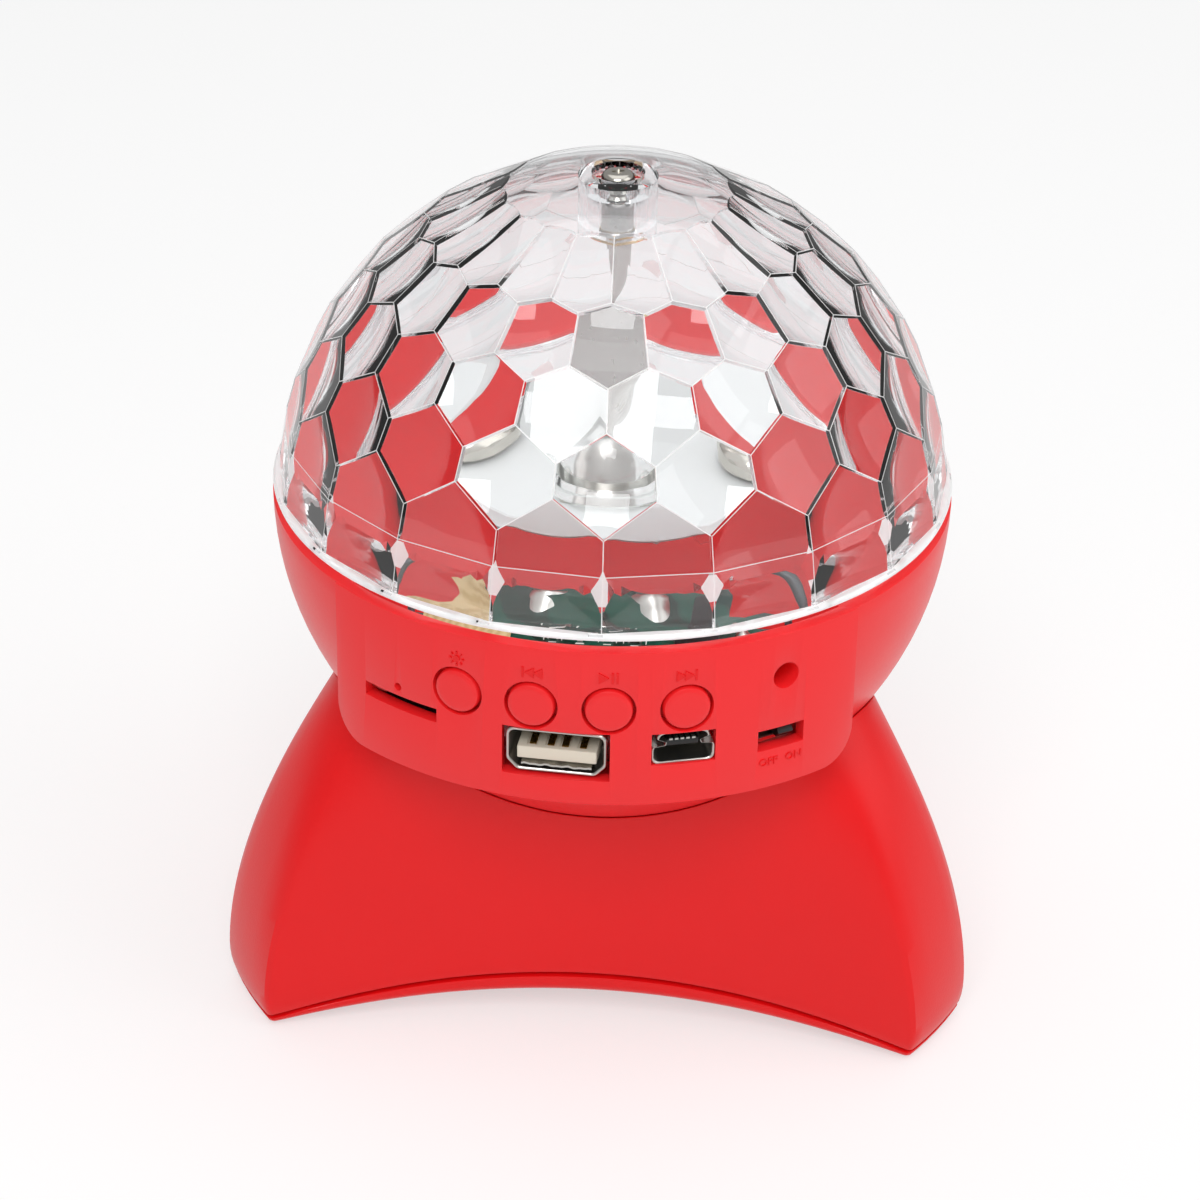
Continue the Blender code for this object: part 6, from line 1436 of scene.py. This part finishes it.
clear_epoxy, tree = new_material("water_clear_epoxy")
epoxy = add_node(tree, "ShaderNodeBsdfPrincipled", links={"Base Color": linear("#F6F7F5"), "Roughness": 0.06,
                                                          "IOR": 1.53, "Transmission Weight": 1.0})
open_air = add_node(tree, "ShaderNodeBsdfTransparent", links={"Color": linear("#EDEEEC")})
path = add_node(tree, "ShaderNodeLightPath")
show_surface(tree, add_node(tree, "ShaderNodeMixShader", links={0: path.outputs["Is Shadow Ray"],
                                                                1: epoxy.outputs[0], 2: open_air.outputs[0]}))
LED_DISTANCE = 14.0 * MM
lamp_z = RIM_Z + 6.8 * MM
dies = []
for index, name in enumerate(("red_led", "green_led", "blue_led")):
    x, y = around(LED_DISTANCE, index * TURN / 3)
    lens = turn_piece(name + "_lens", [(0.0, 0.0), (3.8 * MM, 0.0), (4.0 * MM, 0.2 * MM), (4.0 * MM, 0.9 * MM),
                                       (3.7 * MM, 1.2 * MM), (2.9 * MM, 1.25 * MM)]
                      + [(2.8 * MM * math.cos(TURN / 4 * step / 10), 1.2 * MM + 2.8 * MM * math.sin(TURN / 4 * step / 10))
                         for step in range(10)] + [(0.0, 4.0 * MM)], 48, (x, y, lamp_z))
    finish_piece(lens, "base", "clear_epoxy", clear_epoxy, name)
    dies.append(box_at("lamp_pad", (5.4 * MM, 5.4 * MM, 0.2 * MM), (x, y, LAMP_BOARD_Z + 1.3 * MM),
                       index * TURN / 3))
pads = join_pieces("lamp_pads", dies)
soften(pads, 0.05 * MM, 1)
finish_piece(pads, "base", "tinned_steel", tin_plate)


# Leads
# Thin stranded leads in PVC run from the lamps and the motor to the board, and on to the battery and the
# speaker. They are soldered at both ends.
def lead_skin(name, colour, shade_colour):
    return moulded_plastic(name, colour, 0.32, 1.2, 0.01, shade_colour, ior=1.53)


def smooth_route(points, steps):
    """Points on one smooth curve through the route's own points."""
    ends = [points[0] * 2 - points[1], *points, points[-1] * 2 - points[-2]]
    route = []
    for before, start, end, after in zip(ends, ends[1:], ends[2:], ends[3:]):
        for step in range(steps):
            t = step / steps
            route.append((start * 2 + (end - before) * t
                          + (before * 2 - start * 5 + end * 4 - after) * t ** 2
                          + (start * 3 - before - end * 3 + after) * t ** 3) / 2)
    route.append(points[-1])
    return route


LEAD_RADIUS = 0.55 * MM
red_skin = lead_skin("red_pvc", "#C2161B", "#A81217")
black_skin = lead_skin("black_pvc", "#17181A", "#222326")
grey_skin = lead_skin("grey_pvc", "#4F5458", "#3F4448")
LEADS = (("lamp_wire_red", "grey_wire", grey_skin,
          ((-12, 11, 2.3), (-15, 14, -2), (-21, 19, -4), (-26.5, 23, -8), (-27.2, 24.5, -10.7))),
         ("lamp_wire_grey", "grey_wire", grey_skin,
          ((12, 11, 2.3), (15, 15, -2), (20, 19, -3), (26, 23, -7), (27, 25, -10.7))),
         ("motor_wire_red", "red_wire", red_skin,
          ((-2, 0, -21.9), (-3, 3, -24.5), (-5, 10, -23.5), (-7, 17, -20), (-8, 23.5, -14.1))),
         ("motor_wire_black", "black_wire", black_skin,
          ((2, 0, -21.9), (3, 3, -24.5), (5, 10, -23.5), (7, 17, -20), (8, 23.5, -14.1))),
         ("battery_wire_red", "red_wire", red_skin,
          ((15.9, 20, -31), (19, 19.5, -29.5), (21, 19.5, -24), (21, 21, -18), (20.5, 24, -14.1))),
         ("battery_wire_black", "black_wire", black_skin,
          ((15.9, 24, -31), (20, 24, -29.5), (23.5, 23.5, -24), (23.5, 24.5, -18), (23.3, 26, -14.1))),
         ("speaker_wire_red", "red_wire", red_skin,
          ((-13, 24, -14.1), (-14, 18, -19), (-9, 8, -28), (-3, 2, -38), (-2.4, 0, -46),
           (-3.2, -1, -52), (-8, -3, -53.4), (-13, -4.5, -55), (-14.4, -5, -61.5))),
         ("speaker_wire_black", "black_wire", black_skin,
          ((13, 24, -14.1), (14, 18, -19), (9, 8, -28), (3, 2, -38), (2.4, 0, -46),
           (3.2, -1, -52), (8, -3, -53.4), (13, -4.5, -55), (14.4, -5, -61.5))))
for cad_name, slot_name, skin, places in LEADS:
    route = smooth_route([Vector((x * MM, AXIS_Y - ahead * MM, RIM_Z + up * MM)) for x, ahead, up in places], 8)
    curve = bpy.data.curves.new(cad_name + "_lead", "CURVE")
    curve.dimensions = "3D"
    curve.bevel_depth = LEAD_RADIUS
    curve.bevel_resolution = 4
    curve.use_fill_caps = True
    spline = curve.splines.new("POLY")
    spline.points.add(len(route) - 1)
    for point, place in zip(spline.points, route):
        point.co = (*place, 1.0)
    lead = bpy.data.objects.new(cad_name + "_lead", curve)
    bpy.context.scene.collection.objects.link(lead)
    bpy.ops.object.select_all(action="DESELECT")
    bpy.context.view_layer.objects.active = lead
    lead.select_set(True)
    bpy.ops.object.convert(target="MESH")
    start_edit(lead)
    close_up()
    finish_piece(lead, "base", slot_name, skin, cad_name, smooth_below=60.0)


# Speaker and battery
# A small cone speaker faces down through the grille. Its cone is pressed black paper, its magnet is ground
# ferrite, and the battery's pouch is wrapped in foil.
pressed_paper = moulded_plastic("pressed_black_paper", "#1A1A1B", 0.85, 0.5, 0.05, "#242425", ior=1.5)
ground_ferrite = moulded_plastic("ground_ferrite", "#2B2B2D", 0.55, 0.3, 0.02, "#38383A", ior=1.8)
battery_foil = bright_metal("battery_foil", "#A9ABAE", 0.42, 0.8, "#97999C")
SPEAKER_SEAT_Z = 9.9 * MM
cone_outline = [(0.0, 10.4 * MM), (1.8 * MM, 10.5 * MM), (3.6 * MM, 10.9 * MM), (4.8 * MM, 11.9 * MM),
                (5.5 * MM, 13.4 * MM), (8.0 * MM, 12.6 * MM), (10.5 * MM, 11.6 * MM), (13.0 * MM, 10.6 * MM),
                (13.4 * MM, 10.2 * MM), (14.2 * MM, 9.95 * MM), (15.2 * MM, 9.9 * MM), (16.2 * MM, 10.1 * MM),
                (16.7 * MM, 10.3 * MM)]
cone = turn_piece("paper_cone", cone_outline + [(radius, height + 0.45 * MM)
                                                for radius, height in reversed(cone_outline)], 96, AXIS_FOOT)
finish_piece(cone, "base", "black_paper", pressed_paper, "speaker_cone", smooth_below=40.0)
repaint(ground_ferrite, "speaker_magnet")
repaint(battery_foil, "battery")
